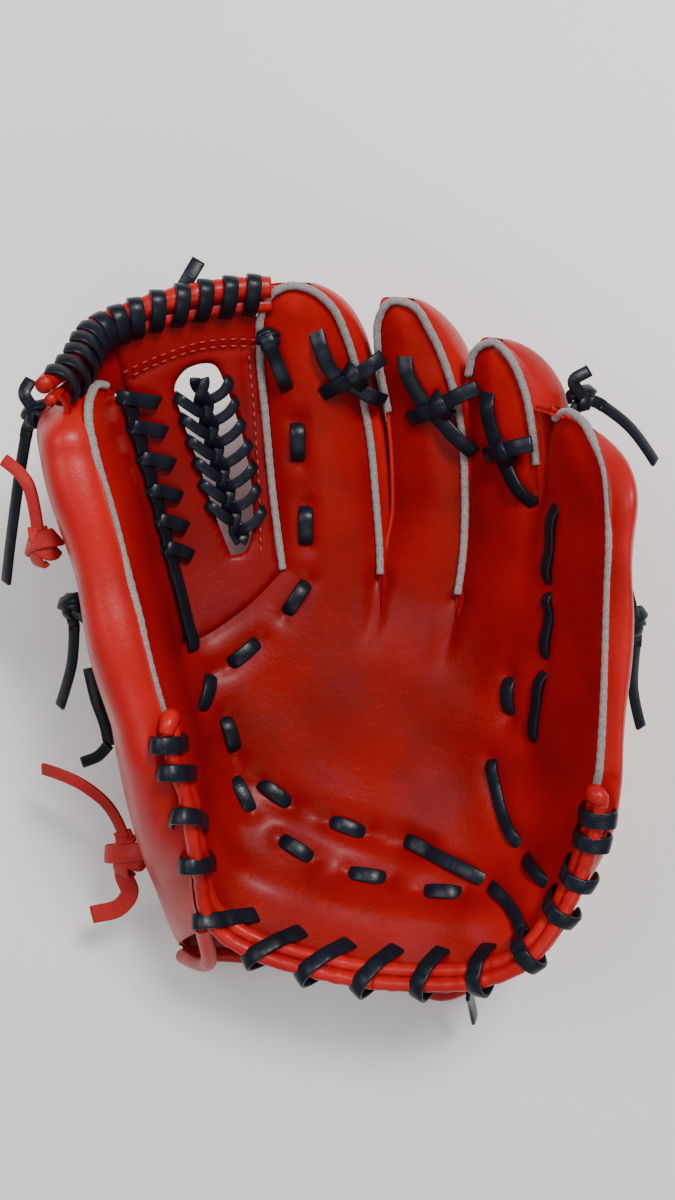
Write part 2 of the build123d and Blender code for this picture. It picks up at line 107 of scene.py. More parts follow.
def spine_slope(v):
    """How steeply the spine climbs: down from the heel, level in the palm, up to the fingertips."""
    heel = -HEEL_RISE * (1 - np.clip(v, -30, PALM_START) / PALM_START)
    tips = FINGER_RISE * np.clip((v - PALM_END) / (SPINE_END - PALM_END), 0, 1.2)
    return np.radians(np.where(v < PALM_START, heel, 0) + np.where(v > PALM_END, tips, 0))


SPINE_V = np.linspace(-30, 340, 1481)
SPINE_STEP = SPINE_V[1] - SPINE_V[0]
SPINE_TURN = spine_slope((SPINE_V[1:] + SPINE_V[:-1]) / 2)
SPINE_Y = np.concatenate([[0], np.cumsum(np.cos(SPINE_TURN))]) * SPINE_STEP
SPINE_Z = np.concatenate([[0], np.cumsum(np.sin(SPINE_TURN))]) * SPINE_STEP
SPINE_Y += HEEL_Y - np.interp(0, SPINE_V, SPINE_Y)
SPINE_Z += HEEL_Z - np.interp(0, SPINE_V, SPINE_Z)


def section_slope(s, v):
    """How steeply the pocket climbs to either side of the spine."""
    to_pinky = 8 * smooth(s / 30) + 80 * smooth((s - 5) / 150)
    to_thumb = 18 * smooth((-s - 5) / 50) + 68 * smooth((-s - thumb_fold(v) + 12) / 30)
    return np.radians(np.where(s >= 0, to_pinky, to_thumb))


def place(s, v, h, lean=1.0):
    """The points in space, in mm, of pattern points; lean under 1 keeps deep points below the spine."""
    s, v, h = np.broadcast_arrays(np.asarray(s, float), np.asarray(v, float), np.asarray(h, float))
    part = (np.arange(48) + 0.5) / 48
    turned = section_slope(s[..., None] * part, v[..., None])
    across = np.cos(turned).mean(-1) * s
    up = np.sin(turned).mean(-1) * np.abs(s)
    turn = section_slope(s, v) * np.where(s >= 0, 1, -1)
    slope = spine_slope(v)
    tilt = np.where(slope > 0, 0.62, 0.95) * slope
    x = SPINE_X + across - h * np.sin(turn)
    y = np.interp(v, SPINE_V, SPINE_Y) - up * np.sin(tilt) - h * np.cos(turn) * np.sin(tilt * lean)
    z = np.interp(v, SPINE_V, SPINE_Z) + up * np.cos(tilt) + h * np.cos(turn) * np.cos(tilt * lean)
    return np.stack([x, y, z], -1)


# ---------------- meshes


def above_ground(grid, low=2.6):
    """The same points with none under a height in mm, eased where they come down to it."""
    grid[..., 2] = low + 1.2 * np.logaddexp(0.0, (grid[..., 2] - low) / 1.2)
    return grid


def object_of(name, points, faces, material):
    """A smooth mesh object from points in mm."""
    mesh = bpy.data.meshes.new(name)
    mesh.from_pydata([tuple(p) for p in np.asarray(points, float) * MM], [], [tuple(f) for f in faces])
    mesh.validate()
    mesh.polygons.foreach_set("use_smooth", [True] * len(mesh.polygons))
    mesh.materials.append(material)
    piece = bpy.data.objects.new(name, mesh)
    bpy.context.collection.objects.link(piece)
    return piece


def grid_faces(rows, columns, start=0, closed=False):
    """The faces between the points of a grid, row by row; closed joins the last column to the first."""
    faces = []
    for i in range(rows - 1):
        for j in range(columns if closed else columns - 1):
            k = (j + 1) % columns
            faces.append((start + i * columns + j, start + i * columns + k,
                          start + (i + 1) * columns + k, start + (i + 1) * columns + j))
    return faces


def sheet_mesh(outer, thickness):
    """Points and faces of a closed sheet: a grid of points, a copy set back by thickness, and its rim."""
    rows, columns, _ = outer.shape
    along = np.gradient(outer, axis=0)
    across = np.gradient(outer, axis=1)
    normal = np.cross(along, across)
    normal /= np.linalg.norm(normal, axis=-1, keepdims=True) + 1e-9
    inner = outer - normal * thickness
    points = np.concatenate([outer.reshape(-1, 3), inner.reshape(-1, 3)])
    count = rows * columns
    faces = [f[::-1] for f in grid_faces(rows, columns)] + grid_faces(rows, columns, count)
    rim = [(i, 0) for i in range(rows)] + [(rows - 1, j) for j in range(1, columns)]
    rim += [(i, columns - 1) for i in range(rows - 2, -1, -1)] + [(0, j) for j in range(columns - 2, 0, -1)]
    ids = [i * columns + j for i, j in rim]
    for a, b in zip(ids, ids[1:] + ids[:1]):
        faces.append((a, b, b + count, a + count))
    return points, faces


def frames(line, up):
    """For each point of a line: its side and its up, with up close to the one asked for."""
    ahead = np.gradient(line, axis=0)
    ahead /= np.linalg.norm(ahead, axis=1, keepdims=True) + 1e-9
    side = np.cross(ahead, up)
    side /= np.linalg.norm(side, axis=1, keepdims=True) + 1e-9
    return side, np.cross(side, ahead)


def spread(points, step):
    """A smooth line through a few points, with a point about every step mm."""
    points = np.asarray(points, float)
    run = np.concatenate([[0], np.cumsum(np.linalg.norm(np.diff(points, axis=0), axis=1))])
    at = np.linspace(0, run[-1], max(3, int(run[-1] / step) + 1))
    return np.stack([curve(*zip(run, points[:, k]))(at) for k in range(points.shape[1])], -1)


def capped(rings):
    """Points and faces of a closed rod through rings of points."""
    rows, sides, _ = rings.shape
    faces = [f[::-1] for f in grid_faces(rows, sides, closed=True)]
    faces.append(tuple(range(sides)))
    faces.append(tuple((rows - 1) * sides + j for j in range(sides))[::-1])
    return rings.reshape(-1, 3), faces


def strip_mesh(line, up, width, thick, sides=12):
    """Points and faces of a flat thong with rounded edges, closed at both ends."""
    side, over = frames(line, up)
    turn = np.linspace(0, 2 * np.pi, sides, endpoint=False)
    flat = np.sign(np.cos(turn)) * np.abs(np.cos(turn)) ** 0.35
    high = np.sign(np.sin(turn)) * np.abs(np.sin(turn)) ** 0.6
    return capped(line[:, None] + side[:, None] * (flat * width / 2)[None, :, None]
                  + over[:, None] * (high * thick / 2)[None, :, None])


def join_meshes(parts):
    """One list of points and one of faces from several."""
    points, faces, count = [], [], 0
    for some, made in parts:
        points.append(some)
        faces += [tuple(i + count for i in face) for face in made]
        count += len(some)
    return np.concatenate(points), faces


def thongs(name, lines, material, width=LACE_WIDTH, thick=LACE_THICK):
    """One piece made of several flat thongs; each is a line of points in space and its up directions."""
    parts = []
    for line, up in lines:
        up = np.broadcast_to(np.asarray(up, float), line.shape)
        parts.append(strip_mesh(line, up, width, thick))
    return object_of(name, *join_meshes(parts), material)


def on_surface(marks, step):
    """A line on the leather through (s, v, h) marks, and the surface's normals along it."""
    s, v, h = spread(marks, step).T
    line = place(s, v, h)
    return line, place(s, v, h + 1) - line


def tube_mesh(line, radius, sides=12):
    """Points and faces of a round rod along a line, closed at both ends."""
    up = np.broadcast_to(np.array([0.0, 0.0, 1.0]), line.shape)
    side, over = frames(line, up)
    turn = np.linspace(0, 2 * np.pi, sides, endpoint=False)
    radius = np.broadcast_to(np.asarray(radius, float), (len(line),))
    return capped(line[:, None] + radius[:, None, None] * (
        side[:, None] * np.cos(turn)[None, :, None] + over[:, None] * np.sin(turn)[None, :, None]))


# ---------------- materials


def node_material(name, colour, roughness):
    """A plain material, its nodes and links, and its shader."""
    material = bpy.data.materials.new(name)
    material.use_nodes = True
    shader = material.node_tree.nodes["Principled BSDF"]
    shader.inputs["Base Color"].default_value = (*colour, 1)
    shader.inputs["Roughness"].default_value = roughness
    return material, material.node_tree.nodes, material.node_tree.links, shader


def bump(nodes, links, height, strength, distance):
    """A bump node, whose normal is still to be linked; distance is in metres."""
    node = nodes.new("ShaderNodeBump")
    node.inputs["Strength"].default_value = strength
    node.inputs["Distance"].default_value = distance
    links.new(height, node.inputs["Height"])
    return node


def noise(nodes, links, scale, detail, where, kind="ShaderNodeTexNoise"):
    texture = nodes.new(kind)
    texture.inputs["Scale"].default_value = scale
    if "Detail" in texture.inputs:
        texture.inputs["Detail"].default_value = detail
    links.new(where.outputs["Object"], texture.inputs["Vector"])
    return texture


def ramp(nodes, links, source, low, high, at=(0.0, 1.0)):
    scale = nodes.new("ShaderNodeValToRGB")
    scale.color_ramp.elements[0].color = (*low, 1)
    scale.color_ramp.elements[1].color = (*high, 1)
    scale.color_ramp.elements[0].position, scale.color_ramp.elements[1].position = at
    links.new(source, scale.inputs["Fac"])
    return scale


def painted_shade_downwards(nodes, links, where, colour, low, high, depth):
    """Paints shade into a colour: darker towards the bottom of the pocket and lower down, where shade falls.
    """
    split = nodes.new("ShaderNodeSeparateXYZ")
    links.new(where.outputs["Object"], split.inputs["Vector"])
    rise = nodes.new("ShaderNodeMapRange")
    rise.interpolation_type = "SMOOTHSTEP"
    for socket, value in (("From Min", low), ("From Max", high), ("To Min", depth), ("To Max", 1.0)):
        rise.inputs[socket].default_value = value
    links.new(split.outputs["Z"], rise.inputs["Value"])
    scaled = nodes.new("ShaderNodeVectorMath")
    scaled.operation = "SCALE"
    links.new(colour, scaled.inputs[0])
    links.new(rise.outputs["Result"], scaled.inputs["Scale"])
    return scaled.outputs["Vector"]


def leather(name, dark, bright, roughness, grain=0.35, pores=2200.0, wrinkle=0.25, shade=None, gleam=0.22):
    """Glove leather: pebbled grain, shallow wrinkles, tone that varies, and gloss that varies with it."""
    material, nodes, links, shader = node_material(name, bright, roughness)
    where = nodes.new("ShaderNodeTexCoord")
    cloud = noise(nodes, links, 28.0, 5.0, where)
    tone = ramp(nodes, links, cloud.outputs["Fac"], dark, bright, (0.3, 0.62))
    colour = tone.outputs["Color"]
    if shade:
        # painted shade: the colour darkens towards the bottom of the pocket and lower down
        colour = painted_shade_downwards(nodes, links, where, colour, *shade)
    links.new(colour, shader.inputs["Base Color"])
    dull, shiny = (roughness + 0.08,) * 3, (roughness - 0.06,) * 3
    gloss = ramp(nodes, links, cloud.outputs["Fac"], dull, shiny, (0.3, 0.7))
    links.new(gloss.outputs["Color"], shader.inputs["Roughness"])
    pebble = noise(nodes, links, pores, 2.0, where, "ShaderNodeTexVoronoi")
    fold = noise(nodes, links, 170.0, 6.0, where)
    fold.inputs["Distortion"].default_value = 1.2
    fine = bump(nodes, links, pebble.outputs["Distance"], grain, 0.00012)
    broad = bump(nodes, links, fold.outputs["Fac"], wrinkle, 0.0009)
    links.new(fine.outputs["Normal"], broad.inputs["Normal"])
    links.new(broad.outputs["Normal"], shader.inputs["Normal"])
    shader.inputs["Specular IOR Level"].default_value = gleam
    shader.inputs["Coat Weight"].default_value = gleam / 3
    shader.inputs["Coat Roughness"].default_value = 0.2
    return material


def felt(name, dark, bright):
    """Pressed felt: fine fibres, with no gloss."""
    material, nodes, links, shader = node_material(name, bright, 0.95)
    where = nodes.new("ShaderNodeTexCoord")
    fibres = noise(nodes, links, 1500.0, 4.0, where)
    tone = ramp(nodes, links, fibres.outputs["Fac"], dark, bright, (0.3, 0.7))
    links.new(tone.outputs["Color"], shader.inputs["Base Color"])
    fuzz = bump(nodes, links, fibres.outputs["Fac"], 0.8, 0.0004)
    links.new(fuzz.outputs["Normal"], shader.inputs["Normal"])
    shader.inputs["Sheen Weight"].default_value = 0.4
    return material


# painted shade: how the leather's colour darkens downwards into the pocket and under the walls, between which
# heights in m, and the share of colour left at the lower
PALM_SHADE, OUTER_SHADE, WEB_SHADE = (0.050, 0.112, 0.56), (0.0, 0.09, 0.75), (0.06, 0.12, 0.6)
RED = leather("red_hide", (0.31, 0.003, 0.003), (0.48, 0.005, 0.004), 0.36, shade=PALM_SHADE, gleam=0.12)
OUTER = leather("red_outer", (0.35, 0.005, 0.005), (0.50, 0.009, 0.008), 0.34, shade=OUTER_SHADE)
# painted shade: the web's red is set darker than the walls' red because it lies in shade
WEB = leather("red_web", (0.27, 0.004, 0.006), (0.40, 0.006, 0.008), 0.42, shade=WEB_SHADE, gleam=0.15)
ROLLED = leather("rolled_red", (0.35, 0.005, 0.005), (0.50, 0.009, 0.008), 0.33, 0.3, 1900.0, 0.4)
LACE = leather("lace_navy", (0.0022, 0.004, 0.008), (0.006, 0.010, 0.018), 0.33, 0.25, 2600.0, 0.3)
RED_LACE = leather("lace_red", (0.30, 0.009, 0.010), (0.44, 0.018, 0.016), 0.55, 0.3, 2400.0, 0.5)
LINING = leather("lining_tan", (0.30, 0.14, 0.07), (0.42, 0.22, 0.11), 0.6, 0.3, 1800.0, 0.4)
WELT = felt("welt_grey", (0.15, 0.135, 0.135), (0.36, 0.33, 0.32))
THREAD, *_ = node_material("thread_red", (0.42, 0.02, 0.015), 0.6)

# ---------------- outlines of the hide, (s, v) in mm
SLIT_1, SLIT_2, SLIT_3 = (17.0, 165.0), (48.7, 157.0), (86.0, 206.0)
INDEX = [(-22, 169), (-25.5, 198), (-28, 231), (-29.5, 262), (-28.5, 276), (-24.5, 284.5), (-17, 288),
         (-10, 286), (-3, 279.5), (3, 266), (8, 247), (12.5, 223), (15, 198), (16.6, 178), SLIT_1]
MIDDLE = [SLIT_1, (20.5, 178), (23, 192), (23.2, 206), (20.6, 235), (16, 262), (16.5, 275), (20.5, 281.5),
          (27.5, 280.5), (35, 270), (43, 252), (49, 229), (51.5, 200), (51, 174), SLIT_2]
RING = [SLIT_2, (52, 172), (53.2, 200), (53, 232), (52, 252), (54.5, 263.5), (61, 267.5), (67, 263),
        (74.5, 251), (80.5, 232), (84, 215), SLIT_3]
PINKY = [SLIT_3, (87.5, 216), (89, 230), (92.5, 240), (99, 244.5), (108, 243.5), (120, 236), (134, 226),
         (145, 205), (148, 188), (146, 150), (140, 112), (132, 78)]
HEEL = [(float(s), float(heel_edge(s)) + 0.3) for s in np.linspace(131, -112.5, 60)]
THUMB = [(-119, 118), (-127, 138), (-132, 165), (-132.5, 200), (-131.5, 232), (-127, 246), (-118, 253.5),
         (-104, 256), (-93, 253), (-85.5, 243), (-79.5, 220), (-73.5, 196), (-67.5, 168), (-62.5, 146)]
WEB_FOOT = [(-64, 138), (-51, 145), (-36, 156), (-22, 169)]


def rounded(points):
    """The same outline as a smooth curve with a point about every 2 mm."""
    return [tuple(p) for p in spread(points, 2.0)]


def segment_distance(points, p, q):
    """How far each point is from the segment from p to q."""
    d = q - p
    t = np.clip(((points - p) @ d) / (d @ d + 1e-12), 0, 1)
    return np.linalg.norm(points - p - t[:, None] * d, axis=1)


def edge_distance(points, outline):
    """How far inside a closed outline each point is, minus outside."""
    a = np.array(outline, float)
    b = np.roll(a, -1, axis=0)
    nearest = np.full(len(points), 1e9)
    inside = np.zeros(len(points), bool)
    for p, q in zip(a, b):
        nearest = np.minimum(nearest, segment_distance(points, p, q))
        if p[1] != q[1]:
            crosses = (p[1] > points[:, 1]) != (q[1] > points[:, 1])
            at = p[0] + (points[:, 1] - p[1]) * (q[0] - p[0]) / (q[1] - p[1])
            inside ^= crosses & (points[:, 0] < at)
    return np.where(inside, nearest, -nearest)


def patch(outline, step, holes=()):
    """(s, v) points and faces that fill an outline, with the rim pulled onto it; also the distances."""
    low, high = np.min(outline, axis=0) - step, np.max(outline, axis=0) + step
    s = np.arange(low[0], high[0] + step, step)
    v = np.arange(low[1], high[1] + step, step)
    flat = np.stack(np.meshgrid(s, v, indexing="ij"), -1).reshape(-1, 2)

    def distance(points):
        d = edge_distance(points, outline)
        for hole in holes:
            d = np.minimum(d, -edge_distance(points, hole))
        return d

    d = distance(flat)
    keep = (d >= 0).reshape(len(s), len(v))
    cells = keep[:-1, :-1] & keep[1:, :-1] & keep[1:, 1:] & keep[:-1, 1:]
    faces = []
    for i, j in zip(*np.nonzero(cells)):
        k = i * len(v) + j
        faces.append((k, k + len(v), k + len(v) + 1, k + 1))
    used = np.unique(faces)
    full = np.zeros(len(flat), int)
    for face in faces:
        full[list(face)] += 1
    rim = np.array([k for k in used if full[k] < 4])
    for _ in range(3):
        at = flat[rim]
        here = distance(at)
        slope = np.stack([distance(at + nudge) - here for nudge in np.eye(2) * 0.05], -1)
        size = np.linalg.norm(slope, axis=1, keepdims=True) + 1e-9
        flat[rim] = at - slope / size * here[:, None] * 0.9
    number = -np.ones(len(flat), int)
    number[used] = np.arange(len(used))
    faces = [tuple(number[list(face)]) for face in faces]
    inside = np.maximum(distance(flat[used]), 0)
    return flat[used], faces, inside


def near_line(points, line, width):
    """1 on a line through (s, v) points, falling to 0 over a few widths."""
    best = np.full(len(points), 1e9)
    line = np.array(line, float)
    for p, q in zip(line, line[1:]):
        best = np.minimum(best, segment_distance(points, p, q))
    return np.exp(-(best / width) ** 2)


# each stitch in the palm: middle (s, v) and direction
STITCHES = [(-16, 222, 0, 1), (-13, 187, 0, 1), (-17, 157, -2, -3), (-38.5, 134.5, -3, -2.4),
            (-54.5, 118.5, -1, -3), (-44, 101, 1, -3), (-38.5, 76, 1.4, -3), (-25.5, 76.5, 3, -2.2),
            (4, 63, 3, -1), (-17, 54, 3, -1.9), (12, 43, 3, -0.5), (42.5, 34.5, 3, -0.4), (73, 118, 0, 1)]
PALM_RUN = [(27, 57), (38, 51.5), (57, 40), (70, 26), (75.5, 14), (76.5, 4)]
SIDE_RUN = [(65, 92), (66.5, 80), (70, 66), (78, 50), (87, 34), (92, 18), (94.5, 6)]
WALL_RUNS = [[(98.5, 196), (96.5, 180), (94, 165)], [(94, 150), (92, 135), (88, 120)],
             [(85, 113), (83.5, 100)]]


def relief(points, inside):
    """How high the leather stands off the pattern surface: puffed panels, pads, creases and dents."""
    s, v = points.T
    high = 3.4 * (1 - np.exp(-inside / 6.5)) - 3.0
    finger = smooth((v - 150) / 45) * smooth((s + 40) / 8)
    high += finger * 2.2 * (1 - np.exp(-inside / 9))
    from_heel = v - heel_edge(s)
    high += 3.6 * np.exp(-((from_heel - 19) / 11) ** 2) * smooth((s + 62) / 14) * smooth((72 - s) / 20)
    high -= 2.2 * near_line(points, [(-50, 96), (-34, 77), (-14, 69), (12, 60), (34, 54)], 6)
    high -= 2.6 * near_line(points, [SLIT_1, (15.5, 150), (12, 132)], 4) * smooth((v - 128) / 26)
    high -= 2.6 * near_line(points, [SLIT_2, (46, 142), (42, 126)], 4) * smooth((v - 122) / 26)
    high -= 2.0 * near_line(points, [SLIT_3, (84, 180), (82, 150)], 5) * smooth((v - 145) / 50)
    for ds, dv, a, b in STITCHES:
        size = math.hypot(a, b)
        ends = [(ds + k * a * 8.5 / size, dv + k * b * 8.5 / size) for k in (-1, 1)]
        high -= 1.3 * near_line(points, ends, 5.5)
        for end in ends:
            high -= 1.1 * near_line(points, [end, (end[0] + 0.1, end[1])], 2.6)
    for run in [PALM_RUN, SIDE_RUN, *WALL_RUNS]:
        high -= 1.6 * near_line(points, run, 5)
    high += 0.5 * np.sin(s / 9 + 1.3 * np.sin(v / 17)) * np.sin(v / 13 + s / 31) * smooth(inside / 12)
    return high


def hide():
    """The palm hide with its finger fronts and both walls, in two halves cut where no fold reaches."""
    outline = (rounded(INDEX) + rounded(MIDDLE)[1:] + rounded(RING)[1:] + rounded(PINKY)[1:] + HEEL
               + rounded(THUMB) + rounded(WEB_FOOT)[:-1])
    flat, faces, inside = patch(outline, 1.8)
    high = relief(flat, inside)
    points = place(flat[:, 0], flat[:, 1], high)
    normal = np.zeros_like(points)
    faces = [f[::-1] for f in faces]
    table = np.array(faces)
    normals = np.cross(points[table[:, 2]] - points[table[:, 0]], points[table[:, 3]] - points[table[:, 1]])
    up = place(flat[:, 0], flat[:, 1], high + 1) - points
    if np.sum(normals * up[table[:, 0]]) < 0:
        table, normals = table[:, ::-1], -normals
    for corner in table.T:
        np.add.at(normal, corner, normals)
    normal /= np.linalg.norm(normal, axis=1, keepdims=True) + 1e-12
    thumb_half = flat[table][:, :, 0].mean(1) < PALM_CUT
    pieces = []
    for name, mask in (("palm_hide_thumb_half", thumb_half), ("palm_hide_pinky_half", ~thumb_half)):
        some = table[mask]
        used = np.unique(some)
        number = -np.ones(len(flat), int)
        number[used] = np.arange(len(used))
        piece = object_of(name, points[used], [tuple(number[f]) for f in some], RED)
        piece.data.normals_split_custom_set_from_vertices([tuple(n) for n in normal[used]])
        pieces.append(piece)
    return pieces


# ---------------- the two folds: their hinges and the bands across them
THUMB_HINGE, THUMB_AXIS = np.array([-49.37, -98.48, 68.66]), np.array([-0.1676, 0.9761, 0.1382])
PINKY_HINGE, PINKY_AXIS = np.array([70.06, -105.26, 100.76]), np.array([0.0143, -0.9997, 0.021])


def across_fold(hinge, axis, out, before, after):
    """Where a bend starts and ends: before and after the hinge line, square to it, in metres."""
    out = np.array(out, float)
    out -= axis * (out @ axis)
    out /= np.linalg.norm(out)
    return tuple((hinge - out * before) * MM), tuple((hinge + out * after) * MM)


THUMB_BAND = across_fold(THUMB_HINGE, THUMB_AXIS, (-0.92, -0.2, 0.35), 10, 24)
PINKY_BAND = across_fold(PINKY_HINGE, PINKY_AXIS, (0.92, 0.02, 0.38), 10, 22)


BANDS = {"thumb_fold": (THUMB_SIDE, *THUMB_BAND), "pinky_fold": (PINKY_SIDE, *PINKY_BAND)}


def put(piece, where, slot, *nodes):
    """Hides the nodes a piece stands for and fastens it to a body, or for a fold bakes its place into its
    points; the slot is not used.
    """
    if nodes:
        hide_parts(*nodes)
    if where in BANDS:
        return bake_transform(piece)
    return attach(piece, where)


# ---------------- finger stalls and the two walls


def sheet_grid(rows, columns):
    """How far along and how far across a sheet each point of its grid is, both from 0 to 1."""
    return np.linspace(0, 1, rows)[:, None], np.linspace(0, 1, columns)[None, :]


def finger_back(name, left, right, v_from, v_to, bulge):
    """The back of a finger: it bulges past its right seam, tucks in on the left, rounded at the tip."""
    b, a = sheet_grid(40, 31)
    v = mix(v_from, v_to, 1 - (1 - b) ** 1.25)
    tip = np.clip((v - v_to + 26) / 26, 0, 1)
    slim = np.sqrt(1 - 0.995 * tip ** 2)
    low, high = left(v), right(v)
    turn = np.pi * a
    half = (high - low) / 2
    cosine = -np.cos(turn)
    reach = np.sign(cosine) * np.abs(cosine) ** 0.62
    deep = (hand_depth(v) - 3) * slim * np.sin(turn) ** np.where(cosine > 0, 1.2, 0.72)
    swell = np.where(cosine > 0, bulge, -1.5) * np.sin(turn) ** 0.42 * slim
    s = (low + high) / 2 + half * reach + swell
    h = -3.0 - deep + 0.7 * np.sin(v / 6.5 + 2 * a) * np.sin(turn) * smooth((v_to - v) / 30)
    return object_of(name, *sheet_mesh(above_ground(place(s, v, h))[::-1], SHELL_THICK), OUTER)


def side_wall(fold, ridge, side, v_from, v_to, depths):
    """The outer leather of the thumb or pinky: from the welt out over the ridge and down to the back."""
    b, a = sheet_grid(60, 41)
    v = mix(v_from, v_to, b)
    tip = np.clip((v - v_to + 24) / 24, 0, 1)
    slim = np.sqrt(1 - 0.985 * tip ** 2)
    out = curve((0, -0.5), (0.08, 3.0), (0.2, 5.2), (0.34, 1.5), (0.5, -10), (0.75, -34), (1, -62))(a)
    deep = curve(*zip((0, 0.08, 0.2, 0.34, 0.5, 0.75, 1), depths))(a) * slim
    wide = (ridge(v) - fold(v)) / 62.0
    s = ridge(v) + out * np.where(out < 0, wide, 1) - 10 * tip ** 3 * np.where(a < 0.6, 1, 0.4)
    deep = deep + 0.8 * np.sin(v / 11 + 3 * a) * smooth(a / 0.3)
    return place(side * s, v, -deep, 0.6)


def resampled(points, count):
    """A smooth line through a few points, as so many points evenly spaced."""
    run = np.linspace(0, 1, count)
    line = spread(points, 1.0)
    return np.stack([np.interp(run, np.linspace(0, 1, len(line)), line[:, k]) for k in range(3)], -1)


def with_skirt(name, side, wall, s_from, s_to, low_points, belly):
    """A side wall and, from its end round to the opening, the leather under the heel's rolled edge."""
    first = wall[0]
    count = 46
    q = np.linspace(0, 1, count)[:, None, None]
    a = np.linspace(0, 1, len(first))[None, :, None]
    s = np.linspace(s_from, s_to, count)
    top = place(*heel_at(s, 9.0), -4.0)[:, None]
    low = resampled(low_points, count)[:, None]
    out = np.array([side * 0.93, -0.3, 0.0]) * belly
    shape = mix(top, low, a) + out * np.sin(np.pi * a ** 0.9) * (1 - 0.55 * q)
    start = first[None] + (top - top[:1]) * (1 - a) + (low - low[:1]) * a
    grid = mix(start, shape, smooth(q * 1.15))
    grid = np.concatenate([above_ground(grid[:0:-1]), wall])
    return object_of(name, *sheet_mesh(grid if side < 0 else grid[:, ::-1], SHELL_THICK), OUTER)


def seam_line(outline, inset, h):
    """A line along an outline in the pattern, inset mm inwards of it."""
    line = np.array(rounded(outline))
    ahead = np.gradient(line, axis=0)
    ahead /= np.linalg.norm(ahead, axis=1, keepdims=True) + 1e-9
    line = line + np.stack([-ahead[:, 1], ahead[:, 0]], -1) * inset
    return place(line[:, 0], line[:, 1], h)


def welt(name, line, radius):
    """Felt piping along a line."""
    fine = spread(line[::2], 1.2)
    uneven = radius * (1 + 0.06 * np.sin(np.arange(len(fine)) * 1.7))
    return object_of(name, *tube_mesh(fine, uneven, 9), WELT)


# each finger's left and right seam, as s along v, where its back ends, and how far it bulges
FINGERS = {
    "index": (curve((150, -24), (169, -22), (231, -28), (264, -29.5), (288, -24)),
              curve((150, 17), (178, 16.6), (198, 15), (223, 12.5), (247, 8), (266, 3), (280, -4),
                    (288, -12)), 287.0, 9.5),
    "middle": (curve((150, 18), (178, 20.5), (192, 23), (206, 23), (235, 20.6), (262, 16), (282, 18)),
               curve((150, 48), (174, 51), (200, 51.5), (229, 49), (252, 43), (270, 35), (282, 27)),
               281.0, 7.5),
    "ring": (curve((150, 50), (200, 53), (252, 52), (268, 57)),
             curve((150, 84), (215, 84), (232, 80.5), (251, 74.5), (263, 67), (268, 62)), 267.0, 6.0),
}
FINGER_SEAMS = {"index": INDEX, "middle": MIDDLE[4:], "ring": RING[4:-1]}
THUMB_RIM = [(-113, 110.5), (-118.5, 119), (-126.5, 138), (-131, 165), (-131.5, 200), (-130.5, 232),
             (-126, 245.5), (-117.5, 252.5), (-104, 255), (-93.5, 252)]
PINKY_RIM = [(131, 79), (139, 106), (145, 140), (147.5, 168), (147.5, 188), (144, 205), (133.5, 225.5),
             (120, 235.5), (108, 243), (99, 244), (92.5, 239.5)]


def stalls():
    """The finger backs, the outer leather of both sides, and the welts in their seams."""
    for name, (left, right, top, bulge) in FINGERS.items():
        back = finger_back(f"{name}_back_shell", left, right, 150.0, top, bulge)
        put(back, HAND, HIDE, f"{name}_finger_back", f"{name}_finger_stay")
    for name, outline in FINGER_SEAMS.items():
        put(welt(f"{name}_piping", seam_line(outline, 0.6, -1.6), 1.5), HAND, FELT, f"{name}_welt")
    wall = side_wall(thumb_fold, thumb_ridge, -1, WALL_BOTTOM_THUMB, 254.0, (1.0, 4.5, 12, 19, 24, 30, 34))
    low = [(-88, -48, 12), (-87, -66, 9), (-81, -92, 7), (-75, -114, 6), (-70, -131, 7)]
    thumb = with_skirt("thumb_outer_shell", -1, wall, -113, -46, low, 17.0)
    put(thumb, "thumb_fold", HIDE, "thumb_back_leather")
    wall = side_wall(pinky_fold, pinky_ridge, 1, WALL_BOTTOM_PINKY, 243.0, (1.0, 3.5, 7, 9.5, 12, 19, 32))
    low = [(88, -52, 16), (90, -72, 14), (88, -92, 14), (80, -112, 20), (74, -122, 26)]
    pinky = with_skirt("pinky_outer_shell", 1, wall, 133, 80, low, 6.0)
    put(pinky, "pinky_fold", HIDE, "pinky_back_leather")
    for name, rim in (("thumb", THUMB_RIM), ("pinky", PINKY_RIM)):
        s, v = spread(rim, 1.5).T
        put(welt(f"{name}_piping", place(s, v, -1.2), 1.55), f"{name}_fold", FELT, f"{name}_welt")


# ---------------- back of the hand, strap and linings
STRAP_FRONT = [(-71, -133, 11), (-46, -135.5, 6), (-10, -140, 4.5), (22, -145, 5), (42, -151.5, 9),
               (55, -145, 14), (68, -129, 24), (77, -114, 34)]
STRAP_REAR = [(-84, -92, 12), (-50, -93, 4.2), (0, -96, 3.6), (38, -97, 4.2), (68, -88, 16), (86, -76, 32)]


def hand_back():
    """The back of the glove, which lies on the ground."""
    b, a = sheet_grid(56, 70)
    v = mix(56.0, 172.0, b)
    a = mix(-0.13, 1.07, a)
    inner = np.clip(a, 0, 1)
    s = mix(-thumb_fold(v) + 4, pinky_fold(v) - 3, inner)
    deep = hand_depth(v) * (1 - 0.22 * smooth((np.abs(s) - 40) / 40))
    grid = place(s, v, 1.0 - deep + 0.5 * np.sin(v / 9 + s / 14), 0.35)
    past = (a - inner) * 112.0
    grid[..., 0] += past
    grid[..., 2] += np.where(a < 0, 9.0, 22.0) * (past / 30.0) ** 2
    back = object_of("hand_back_shell", *sheet_mesh(above_ground(grid)[::-1], BACK_THICK), OUTER)
    put(back, HAND, HIDE, "hand_back_leather")


